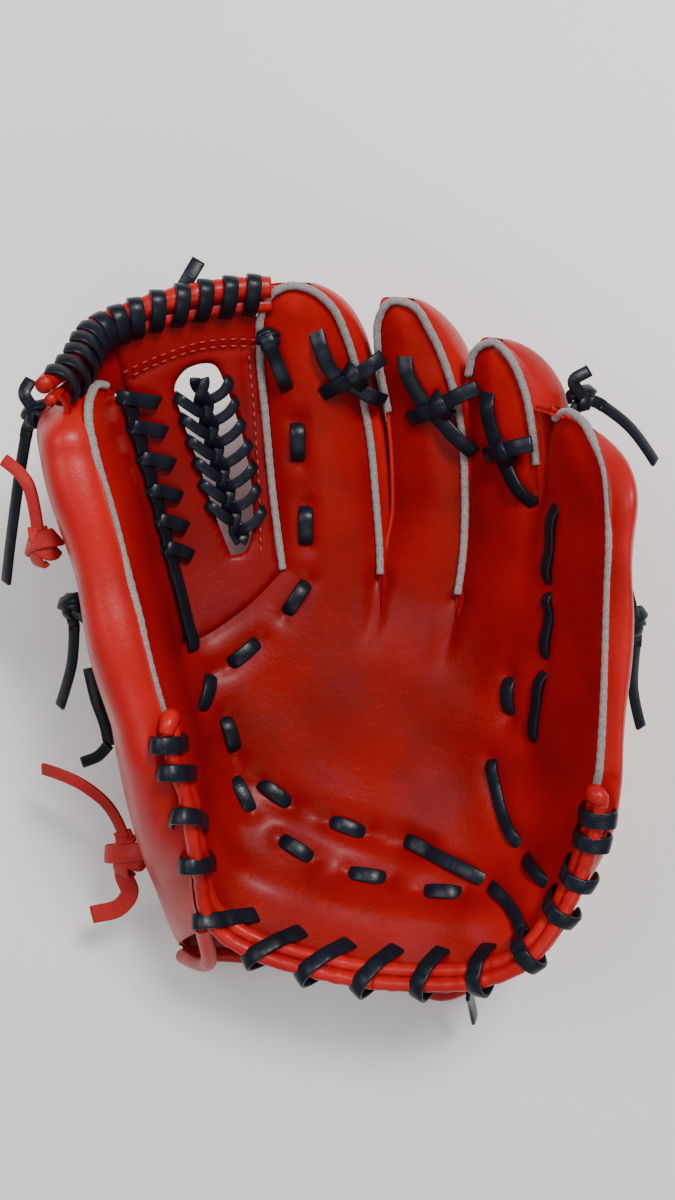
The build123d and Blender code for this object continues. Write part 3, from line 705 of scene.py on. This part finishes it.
def wrist_strap():
    """The strap under the heel's opening, the rolls on its edges, and the roll up to the heel at the left."""
    front = resampled(STRAP_FRONT, 60)
    rear = resampled(STRAP_REAR, 60)
    w = np.linspace(0, 1, 16)[:, None, None]
    band = mix(front[None], rear[None], w)
    band[..., 2] += 1.2 * np.sin(np.pi * w[..., 0])
    strap = object_of("wrist_strap_band", *sheet_mesh(band[::-1], STRAP_THICK), OUTER)
    put(strap, HAND, HIDE, "wrist_strap")
    top = place(*heel_at(-47.0, 8.5), -5.0)
    corner = spread([top, (-57, -127, 50), (-66, -132.5, 26), (-71.5, -134, 12)], 1.5)
    edges = [tube_mesh(front, 3.1), tube_mesh(rear, 2.6), tube_mesh(corner, 3.3)]
    put(object_of("wrist_strap_rolls", *join_meshes(edges), ROLLED), HAND, HIDE, "wrist_strap_binding")


def linings():
    """The soft linings of the palm and of the back, which show through the opening."""
    b, a = sheet_grid(50, 40)
    v = mix(14.0, 150.0, b)
    s = mix(-34.0, 70.0, a)
    grid = place(s, v, -9.0 + 0.7 * np.sin(v / 7 + s / 9) * np.sin(s / 13))
    skin = object_of("palm_lining_skin", *sheet_mesh(grid, LINING_THICK), LINING)
    put(skin, HAND, LINING_HIDE, "palm_lining")
    v = mix(56.0, 160.0, b)
    s = mix(-44.0, 76.0, a)
    deep = hand_depth(v) * (1 - 0.22 * smooth((np.abs(s) - 40) / 40))
    grid = place(s, v, 5.5 - deep + 0.5 * np.sin(v / 8 + s / 10), 0.35)
    grid[..., 2] = np.maximum(grid[..., 2], 6.5 + 0.4 * np.sin(v / 8 + s / 10))
    skin = object_of("back_lining_skin", *sheet_mesh(grid, LINING_THICK), LINING)
    put(skin, HAND, LINING_HIDE, "hand_back_lining")


# ---------------- the heel's rolls and its lace


def heel_at(s, back, aside=0.0):
    """The (s, v) of a point so far back from the heel's edge at s, and so far aside along it."""
    slope = heel_edge(s + 0.5) - heel_edge(s - 0.5)
    size = np.hypot(1, slope)
    return s + (back * slope + aside) / size, heel_edge(s) + (aside * slope - back) / size


def heel_rolls(name, s_from, s_to, side):
    """The two rolls of the heel's edge, joined at the outer end by a short bend."""
    bend = np.linspace(0, np.pi, 18)
    end = s_from if side < 0 else s_to
    at_s, at_v = heel_at(end, 5.4 - 3.4 * np.cos(bend), side * 4.4 * np.sin(bend))
    line = place(at_s, at_v, 0.1 + 0.5 * np.cos(bend) + 1.6 * np.sin(bend))
    parts = [tube_mesh(line, ROLL_RADIUS * (1 + 0.25 * np.sin(bend)), 14)]
    for back, height in ((2.6, 0.6), (8.2, -0.4)):
        s = np.linspace(s_from, s_to, 70)
        at_s, at_v = heel_at(s, back)
        line = place(at_s, at_v, height)
        ripple = ROLL_RADIUS * (1 + 0.05 * np.sin(s * 0.9) + 0.03 * np.sin(s * 2.3 + back))
        parts.append(tube_mesh(line, ripple, 14))
    return object_of(name, *join_meshes(parts), ROLLED)


def wrap_line(s_at, slant, reach=1.0):
    """A turn of lace over the heel rolls: out of a hole in the palm, over both rolls and down behind."""
    back = np.array([-8.6, -7.6, -5.0, -1.0, 2.6, 5.4, 8.2, 10.9, 12.3, 11.6, 8.6, 4.0])
    h = np.array([-4.2, -0.8, 1.6, 3.4, 4.8, 4.2, 3.9, 1.6, -2.0, -5.0, -6.8, -7.4])
    back = 2.2 + (back - 2.2) * reach
    aside = -slant * (back - 3.5) / 8.0
    marks = spread(np.stack([back, h, aside], -1), 1.1)
    s, v = heel_at(s_at, marks[:, 0], marks[:, 2])
    line = place(s, v, marks[:, 1])
    middle = place(*heel_at(s_at, 4.5, 0.0), -3.5)
    return line, line - middle


# each turn of lace on the heel: where it crosses the edge, how far it slants and, on the left, its reach
LEFT_TURNS = ((-110.5, 3.4, 1.15), (-105, 5.0, 1.15), (-90.5, 6.2, 1.2), (-70.5, 6.6, 1.2),
              (-44.5, 7.0), (-25, 7.0), (-5, 6.6))
RIGHT_TURNS = ((15, 5.8), (36, 3.8), (57, 3.0), (76, 1.8), (94, 4.0), (107, 4.4), (120.5, 3.4), (127.5, 3.0))
HEEL_END = [(50, -141, 46), (52, -147, 36), (54.5, -157, 27)]
TURN_WIDTH, TURN_THICK = 6.4, 1.8


def heel():
    """The heel's rolls and the lace wound over them, each in two pieces, one for each fold."""
    rolls = heel_rolls("heel_rolls_left", -113.0, PALM_CUT, -1)
    put(rolls, "thumb_fold", HIDE, "hand_heel_rolls", "thumb_heel_rolls")
    put(heel_rolls("heel_rolls_right", PALM_CUT, 133.0, 1), "pinky_fold", HIDE, "pinky_heel_rolls")
    lines = [wrap_line(*turn) for turn in LEFT_TURNS]
    turns = thongs("heel_turns_left", lines, LACE, TURN_WIDTH, TURN_THICK)
    put(turns, "thumb_fold", BLACK_LACE, "hand_heel_lace", "thumb_heel_lace")
    lines = [wrap_line(*turn) for turn in RIGHT_TURNS] + [(spread(HEEL_END, 1.2), (0.9, 0.1, 0.5))]
    turns = thongs("heel_turns_right", lines, LACE, TURN_WIDTH, TURN_THICK)
    put(turns, "pinky_fold", BLACK_LACE, "pinky_heel_lace")


# ---------------- the web and its laces
BAR_WIDTH = 5.6
SLOT = [(-43.5, 175), (-49.5, 191), (-55.5, 212), (-61.5, 233), (-63.5, 249), (-59, 254.5), (-48, 255.5),
        (-44.5, 248), (-41, 236), (-36.5, 218), (-34.5, 198), (-35, 183), (-38.5, 176)]


index_left = curve((165, -20), (169, -22), (198, -25.5), (231, -28), (262, -29.5), (300, -28.5))


def panel_outline():
    """The web panel's outline: up the thumb's seam, along the rim, and down the index finger's seam."""
    up = np.linspace(139, 268, 40)
    left = [(float(-thumb_fold(v) + 1.0), float(v)) for v in up]
    s = np.linspace(-85, -31, 30)
    top = [(float(x), float(web_top(x)) - 3) for x in s]
    right = [(float(index_left(v)) - 1.0, float(v)) for v in up[::-1] if v > 171]
    foot = [(-23, 168), (-36, 154.5), (-51, 143.5)]
    return left + top + right + rounded(foot)


def web_panel():
    """The web's single panel with its slot, dented under the rows of thread."""
    flat, faces, inside = patch(panel_outline(), 1.6, holes=(rounded(SLOT + SLOT[:1])[:-1],))
    s, v = flat.T
    high = -2.2 + 1.0 * (1 - np.exp(-inside / 3.0))
    seams = ([(-34, 262), (-52, 262), (-68, 258), (-82, 251)], [(-33, 180), (-33.5, 215), (-36, 256)])
    for seam in seams:
        high = high - 0.7 * near_line(flat, seam, 1.6)
    high = high + 0.25 * np.sin(v / 8 + s / 11)
    points = place(s, v, high)
    piece = object_of("web_panel_sheet", points, faces, WEB)
    thick = piece.modifiers.new("thickness", "SOLIDIFY")
    thick.thickness = PANEL_THICK * MM
    thick.offset = -1.0
    return piece


def web_rim():
    """The rolled top edge of the web, from the index finger over the thumb's tip."""
    s = np.linspace(-25, -129, 80)
    drop = smooth((-s - 92) / 36)
    parts = []
    for back, height, radius in ((-0.6, -2.8, 4.3), (6.8, -2.2, 3.0)):
        line = place(s, web_top(s) - back - 8 * drop, height - 5.0 * drop - 5 * drop ** 4)
        parts.append(tube_mesh(line, radius * (1 + 0.05 * np.sin(s * 0.8)) * (1 - 0.25 * drop), 14))
    return object_of("web_rim_roll", *join_meshes(parts), ROLLED)


def rim_turn(s_at, lean):
    """One turn of lace round the rolled rim."""
    turn = np.radians(np.linspace(-28, 205, 24))
    drop = float(smooth((-s_at - 92) / 36))
    across = 2.6 + 8.2 * np.cos(turn)
    s = s_at - lean * (across - 2.6) / 8.2
    low = -2.6 - 5.0 * drop - 3 * drop ** 4
    line = place(s, web_top(s) - 8 * drop - across, low + 6.3 * np.sin(turn))
    middle = place(s_at, web_top(s_at) - 8 * drop - 2.6, low)
    return line, line - middle


def corner_flap():
    """The web's leather over the thumb's tip, between the tip and the rolled rim."""
    s = np.linspace(-126, -80, 40)[:, None]
    b = np.linspace(0, 1, 14)[None, :]
    drop = smooth((-s - 92) / 36)
    v = mix(246.0, web_top(s) - 5 - 8 * drop, b)
    h = -4.2 - 4.0 * drop + 1.2 * np.sin(np.pi * b) + 0.4 * np.sin(s / 4)
    return object_of("web_corner_flap", *sheet_mesh(place(s, v, h), 2.2), WEB)


# each turn of lace on the web's rim: where, and how far it leans
RIM_TURNS = ((-32.5, 1.6), (-41.5, 1.8), (-51, 2.0), (-60, 2.0), (-69, 1.4), (-77, 0.6), (-83.5, 0.0),
             (-89.5, -0.6), (-95.5, -1.0), (-101.5, -1.4), (-108, -1.6), (-115, -1.6), (-122, -1.0))
RIM_END = [(-68, 129, 92), (-64, 137, 95), (-60.5, 143, 96.5), (-56.5, 150, 96)]


def web():
    """The web: its panel, rim and corner, the lace on each, and the rows of thread."""
    put(corner_flap(), "thumb_fold", HIDE, "web_corner")
    put(web_panel(), "thumb_fold", HIDE, "web_panel")
    put(web_rim(), "thumb_fold", HIDE, "web_rim")
    lines = [rim_turn(*turn) for turn in RIM_TURNS] + [(spread(RIM_END, 1.2), (0.1, 0.1, 1.0))]
    turns = thongs("web_rim_turns", lines, LACE, BAR_WIDTH, 1.8)
    put(turns, "thumb_fold", BLACK_LACE, "web_rim_lace", "web_corner_lace")
    put(web_ladder(), HAND, BLACK_LACE, "web_ladder_lace")
    put(web_bars(), "thumb_fold", BLACK_LACE, "web_thumb_lace")
    put(stitching(), "thumb_fold", HIDE)


def web_ladder():
    """A braid up the slot, with an arm to each side at every crossing."""
    lines = []
    spine = [(-39.5, 182), (-43, 193), (-46, 206), (-49, 219), (-51.5, 232), (-54, 246)]
    middle = curve(*[(v, s) for s, v in spine])
    pitch = 9.2
    for phase in (0, 1):
        v = np.linspace(180, 250, 90)
        turn = (v - 180) / pitch * np.pi + phase * np.pi
        s = middle(v) + 1.9 * np.sin(turn)
        h = -2.6 + 1.5 * np.cos(turn)
        line = place(s, v, h)
        lines.append((line, place(s, v, h + 1) - line))
    for k in range(7):
        v = 187.5 + pitch * k
        at = float(middle(v))
        reach = 13.5 - 0.5 * abs(k - 3)
        lines.append(on_surface([(at, v - 2.5, -2.8), (at + 3.2, v - 1.2, 0.6), (at + 8, v + 2.0, 1.3),
                                 (at + reach - 1.6, v + 5.6, 0.6), (at + reach, v + 6.6, -3.4)], 1.0))
        if k < 6:
            lines.append(on_surface([(at, v + 1.5, -2.8), (at - 3.4, v + 2.4, 0.5), (at - 7.5, v + 5.6, 1.2),
                                     (at - 11, v + 8.6, 0.4), (at - 12.4, v + 9.6, -3.4)], 1.0))
    return thongs("web_ladder_braid", lines, LACE, 4.3, 1.7)


def web_bars():
    """The lace that joins the web to the thumb: bars over the edge, and the run on down to the palm."""
    lines = []
    for k, v in enumerate((243, 230, 216, 202, 189, 177)):
        fold = -float(thumb_fold(v))
        reach = 11.5 - 0.6 * k
        lines.append(on_surface([(fold - 5.5, v + 2.6, -2.0), (fold - 3.4, v + 2.0, 1.3),
                                 (fold + 1.5, v + 0.8, 2.0), (fold + reach - 1.5, v - 1.6, 1.0),
                                 (fold + reach, v - 2.4, -3.2)], 1.0))
        low = v - 12.5
        fold_low = -float(thumb_fold(low))
        lines.append(on_surface([(fold - 4.0, v + 1.5, 0.8), (fold - 1.6, v - 4.5, 0.9),
                                 (fold_low - 3.5, low + 2.5, 0.6)], 1.0))
    lines.append(on_surface([(-69.5, 172, 0.6), (-67, 160, 1.4), (-63.5, 146, 1.2), (-60.5, 138, 0.4),
                             (-59.5, 134.5, -2.6)], 1.2))
    return thongs("web_thumb_bars", lines, LACE, BAR_WIDTH, 1.7)


def stitching():
    """Two rows of thread along the web's top band, and one down its post."""
    rows = ([(-31, 265.5), (-40, 266.5), (-53, 266), (-69, 261.5), (-84, 255.5)],
            [(-31, 262.5), (-40, 263.5), (-53, 263), (-69, 258.5), (-83, 252.5)],
            [(-31.5, 176), (-31.8, 200), (-33, 230), (-34.6, 262)])
    lines = []
    for row in rows:
        run = spread(row, 0.8)
        for start in range(0, len(run) - 3, 5):
            s, v = run[start:start + 4].T
            line = place(s, v, np.array([-1.3, -0.75, -0.75, -1.3])[:len(s)])
            lines.append((line, place(s, v, 1.0) - place(s, v, 0.0)))
    return thongs("web_stitching", lines, THREAD, 0.7, 0.5)


# ---------------- laces in the palm and between the fingers


def over_leather(points, lifts, step=1.2):
    """A line through (s, v) points, lifted off the leather by so much at each."""
    s, v, lift = spread([(*point, float(up)) for point, up in zip(points, lifts)], step).T
    h = relief(np.stack([s, v], -1), np.full(len(s), 40.0)) + lift
    line = place(s, v, h)
    return line, place(s, v, h + 1) - line


def stitch_line(s, v, along_s, along_v, length=16.5):
    """A short stitch of lace that comes out of one hole and goes into the next."""
    at = np.array([-0.5, -0.42, -0.22, 0.0, 0.22, 0.42, 0.5]) * length / math.hypot(along_s, along_v)
    lifts = (-3.2, -0.4, 1.3, 1.7, 1.3, -0.4, -3.2)
    return over_leather([(s + k * along_s, v + k * along_v) for k in at], lifts, 0.8)


def run_line(points):
    """A longer run of lace on the leather, with both ends in their holes."""
    return over_leather(points, [-3.0] + [1.1] * (len(points) - 2) + [-3.0])


def palm_laces():
    """The stitches and runs of lace in the palm and up the pinky's wall."""
    hand, thumb = [], []
    for mark in STITCHES:
        (thumb if mark[0] < -20 else hand).append(stitch_line(*mark))
    hand.append(run_line([(26, 57.5), (28.5, 57), (38, 51.5), (57, 40), (62, 36)]))
    put(thongs("palm_stitches", hand, LACE), HAND, BLACK_LACE, "palm_lace")
    put(thongs("thumb_stitches", thumb, LACE), "thumb_fold", BLACK_LACE)
    walls = [run_line([(61, 37), (64, 34), (70, 26), (74, 18), (76, 11), (76.6, 7)]),
             run_line([(65, 93), (65.3, 90), (67, 79), (70, 67), (76, 54), (78, 50)]),
             run_line([(78.5, 49), (81, 44), (88, 33), (90, 27)]),
             run_line([(100, 203), (99, 196), (97, 181), (94.5, 167), (94, 162)]),
             run_line([(94.5, 162), (95, 158), (94.5, 150), (92, 136), (91, 131)]),
             run_line([(91.5, 130), (90.6, 126), (87.5, 112), (86, 103), (85.6, 99)])]
    put(thongs("pinky_wall_runs", walls, LACE, 5.2), "pinky_fold", BLACK_LACE, "pinky_wall_lace")


# each tie between two fingers: the strap that runs down, and the bar across it
TIES = {
    "index_middle": ([(-8.5, 270), (-6.5, 263), (-2.5, 253), (7, 246), (15, 241.5), (18.5, 239.5)],
                     [(-6, 242.5), (-2, 245.5), (7, 251), (14, 256.5), (18, 259)]),
    "middle_ring": ([(26, 260), (28, 252.5), (33, 243), (42, 233.5), (52, 224), (56, 219.5)],
                    [(29, 232.5), (33, 234.5), (43, 240), (53, 246), (58, 248.5)]),
    "ring_pinky": ([(61, 247), (63, 241), (66.5, 229), (73, 216), (81, 204), (84, 199)],
                   [(62, 219), (66, 220.5), (73, 222.5), (81, 225.5), (85.5, 227)]),
}


def finger_ties():
    """The crosses of lace between the fingers, and the knotted tie between the index finger and the web."""
    for name, (strap, bar) in TIES.items():
        low = [-3.0] + [1.4] * (len(strap) - 2) + [-2.0]
        high = [-1.0, 2.6, 4.4, 4.0, 0.5]
        lines = [over_leather(strap, low), over_leather(bar, high)]
        s, v = bar[2]
        loop = [(s - 3.5, v + 3.5), (s - 2, v + 2.5), (s, v), (s + 2.5, v - 3), (s + 4, v - 4.5)]
        lines.append(over_leather(loop, (1.5, 4.6, 6.0, 4.6, 1.2)))
        put(thongs(f"{name}_cross", lines, LACE, 6.2), HAND, BLACK_LACE, f"{name}_tie")
    strap = [(-29, 270), (-27, 265.5), (-24.5, 258), (-21, 247.5), (-20, 244)]
    lines = [over_leather(strap, (-1.0, 3.0, 2.0, 1.4, -2.8))]
    lines += knot_turns(place(-27.5, 266.5, 2.6), 2.6, (0.1, 0.3, 1.0))
    put(thongs("index_web_cross", lines, LACE, 5.8), HAND, BLACK_LACE, "index_web_tie")


def knot_turns(centre, radius, up, turns=3):
    """Short turns of lace round a point, as a pulled-down knot shows them."""
    up = np.asarray(up, float) / np.linalg.norm(up)
    first = np.cross(up, [0.35, 0.9, 0.2])
    first /= np.linalg.norm(first)
    second = np.cross(up, first)
    lines = []
    for k in range(turns):
        angle = k * 1.15 + 0.5
        flat = first * math.cos(angle) + second * math.sin(angle)
        tilt = np.cross(up, flat)
        turn = np.radians(np.linspace(-125, 118 + 9 * k, 24))[:, None]
        size = radius * (1.0 - 0.17 * k)
        ring = centre + size * (np.cos(turn) * up * 0.62 + np.sin(turn) * flat * 1.25) + tilt * (k - 1) * 2.1
        ring = ring + tilt * 1.5 * np.sin(turn * 0.5)
        lines.append((ring, ring - (centre - up * 1.5)))
    return lines


# ---------------- knots and the free ends of the laces
# each knot: its centre, radius, body and up direction, and the route of the end that hangs from it, in mm
KNOTS = {
    "thumb_tip": ((-117.4, 91.2, 100), 5.4, THUMB_SIDE, (-0.5, 0.2, 0.8),
                  [(-121.3, 85.7, 97), (-124.8, 71, 93), (-128.7, 54.3, 86), (-132.7, 39.1, 77),
                   (-135.4, 28.6, 70)]),
    "web_tie": ((-114.6, 41, 100), 6.2, THUMB_SIDE, (-0.7, 0.0, 0.7),
                [(-116.1, 47, 102), (-117.2, 58.8, 104), (-120.9, 68.5, 104), (-129.1, 74, 101)]),
    "thumb_side": ((-112.9, 19.1, 54), 5.2, THUMB_SIDE, (-0.6, 0.0, 0.8),
                   [(-112.1, 10.8, 50), (-113.1, -1.3, 45), (-116.9, -12.8, 38), (-121.7, -23.5, 30)]),
    "wrist_tie": ((-91, -84.5, 44.1), 8.2, HAND, (-0.5, -0.1, 0.85),
                  [(-92, -76.0, 47.1), (-95, -64.5, 53.1), (-105, -54.5, 57.1), (-117, -49.5, 53.1),
                   (-126, -48.5, 44.1)]),
    "pinky_tip": ((90.1, 99.2, 87), 5.4, PINKY_SIDE, (0.3, 0.4, 0.85),
                  [(97.2, 97, 86), (105.5, 92.4, 83), (114.3, 84.8, 78), (121.5, 76, 72)]),
    "pinky_side": ((116.1, 12.5, 58), 6.0, PINKY_SIDE, (0.6, 0.0, 0.8),
                   [(117.7, 4.4, 54), (117.7, -6.5, 48), (119.1, -19.3, 41), (123.5, -31.9, 36)]),
}
RED_TIES = ("web_tie", "wrist_tie")
# a knot's short second ends, and the laces that lead from it into the leather
STUBS = {
    "wrist_tie": [[(-91, -84, 44), (-93, -92, 42), (-91, -101, 38), (-96, -108, 34), (-108, -112, 30)]],
    "thumb_side": [[(-112, 18, 55), (-106, 14, 57), (-99, 8, 60)],
                   [(-104, -6, 62), (-102, -18, 58), (-99, -30, 52), (-98, -38, 48)],
                   [(-98, -38, 50), (-103, -43, 46), (-110, -46, 42)]],
    "thumb_tip": [[(-117, 92, 101), (-121, 99, 103), (-119, 104, 101)]],
    "pinky_side": [[(116, 12, 60), (113, 20, 66), (111, 26, 68)],
                   [(116, 12, 57), (110, 18, 61), (102, 24, 66), (95, 28, 70)]],
    "pinky_tip": [[(90, 99, 90), (86, 105, 92), (92, 109, 92)], [(90, 99, 87), (87, 94, 87), (83, 88, 85)]],
}
CORD_WIDTH = 5.0


def spline_points(name, route):
    """The points of a smooth curve guided by a route, read from a curve object that is then removed."""
    data = bpy.data.curves.new(f"{name}_route", "CURVE")
    data.dimensions = "3D"
    line = data.splines.new("NURBS")
    line.points.add(len(route) - 1)
    for point, at in zip(line.points, route):
        point.co = (*(np.array(at) * MM), 1)
    line.order_u = 3
    line.use_endpoint_u = True
    line.resolution_u = 16
    guide = bpy.data.objects.new(f"{name}_route", data)
    bpy.context.collection.objects.link(guide)
    bpy.context.view_layer.update()
    mesh = bpy.data.meshes.new_from_object(guide.evaluated_get(bpy.context.evaluated_depsgraph_get()))
    points = np.array([tuple(v.co) for v in mesh.vertices]) / MM
    bpy.data.objects.remove(guide)
    return points


def knot_wraps(name, line, width, look):
    """A knot's turns, the lead from it into its hanging end, and its stubs, as one piece."""
    centre, radius, _, up, _ = KNOTS[name]
    centre = np.array(centre, float)
    turns = knot_turns(centre, radius * (1.0 if name in RED_TIES else 0.8), up)
    lead = spread([centre, mix(centre, line[0], 0.5) + [0, 0, 1.5], line[0], line[2]], 0.8)
    turns.append((lead, (0.0, 0.0, 1.0)))
    turns += [(spread(stub, 1.2), (0.1, 0.1, 1.0)) for stub in STUBS.get(name, ())]
    return thongs(f"{name}_wraps", turns, look, width, 2.0)


def knots_and_ends():
    """Every knot and, as a flat thong along its route, the end that hangs from it."""
    for name, (_, _, body, _, route) in KNOTS.items():
        look, slot, width = (RED_LACE, RED_THONG, 7.6) if name in RED_TIES else (LACE, BLACK_LACE, 4.8)
        line = spline_points(name, route)
        put(knot_wraps(name, line, width, look), body, slot, f"{name}_knot")
        away = (line - [SPINE_X, -20.0, 0.0]) / 200 + [0.0, 0.0, 1.0]
        end = thongs(f"{name}_end", [(line, away)], look, CORD_WIDTH)
        put(end, body, slot, f"{name}_tail")


# ---------------- camera, light and floor


EYE, LENS, SENSOR = (SPINE_X * MM, 0.0215, 0.641), 43.2, 36.0
# each lamp's place, power, size and colour; all of them point at the origin
LAMPS = {
    "key": ((0.45, 0.75, 1.5), 27.0, 0.4, (1.0, 0.97, 0.93)),
    "fill": ((-0.75, 0.35, 1.3), 7.0, 0.7, (0.95, 0.97, 1.0)),
    "front": ((0.1, -1.0, 1.3), 4.0, 0.9, (1.0, 0.98, 0.95)),
}


def placed(name, data, at):
    """An object in the scene, at a point."""
    thing = bpy.data.objects.new(name, data)
    thing.location = at
    bpy.context.collection.objects.link(thing)
    return thing


def stage():
    """The camera straight above the palm, the floor, the lamps and the light of the room."""
    camera = bpy.data.cameras.new("camera")
    camera.sensor_width = SENSOR
    camera.lens = LENS
    bpy.context.scene.camera = placed("camera", camera, EYE)
    floor = bpy.data.meshes.new("floor")
    floor.from_pydata([(-3, -3, 0), (3, -3, 0), (3, 3, 0), (-3, 3, 0)], [], [(0, 1, 2, 3)])
    table, *_ = node_material("table_white", (0.93, 0.915, 0.89), 0.5)
    floor.materials.append(table)
    placed("floor", floor, (0, 0, 0))
    for name, (at, power, size, colour) in LAMPS.items():
        light = bpy.data.lights.new(name, "AREA")
        light.energy = power
        light.size = size
        light.color = colour
        placed(name, light, at).rotation_euler = (-Vector(at)).to_track_quat("-Z", "Y").to_euler()
    world = bpy.data.worlds.new("room")
    world.use_nodes = True
    room = world.node_tree.nodes["Background"].inputs
    room["Color"].default_value = (0.9, 0.92, 0.95, 1)
    room["Strength"].default_value = 0.34
    bpy.context.scene.world = world


stage()
thumb_half, pinky_half = hide()
put(thumb_half, "thumb_fold", HIDE, "palm_leather", "index_finger_front", "thumb_front_leather")
put(pinky_half, "pinky_fold", HIDE, "middle_finger_front", "ring_finger_front", "pinky_front_leather")
stalls()
hand_back()
wrist_strap()
linings()
heel()
web()
palm_laces()
finger_ties()
knots_and_ends()
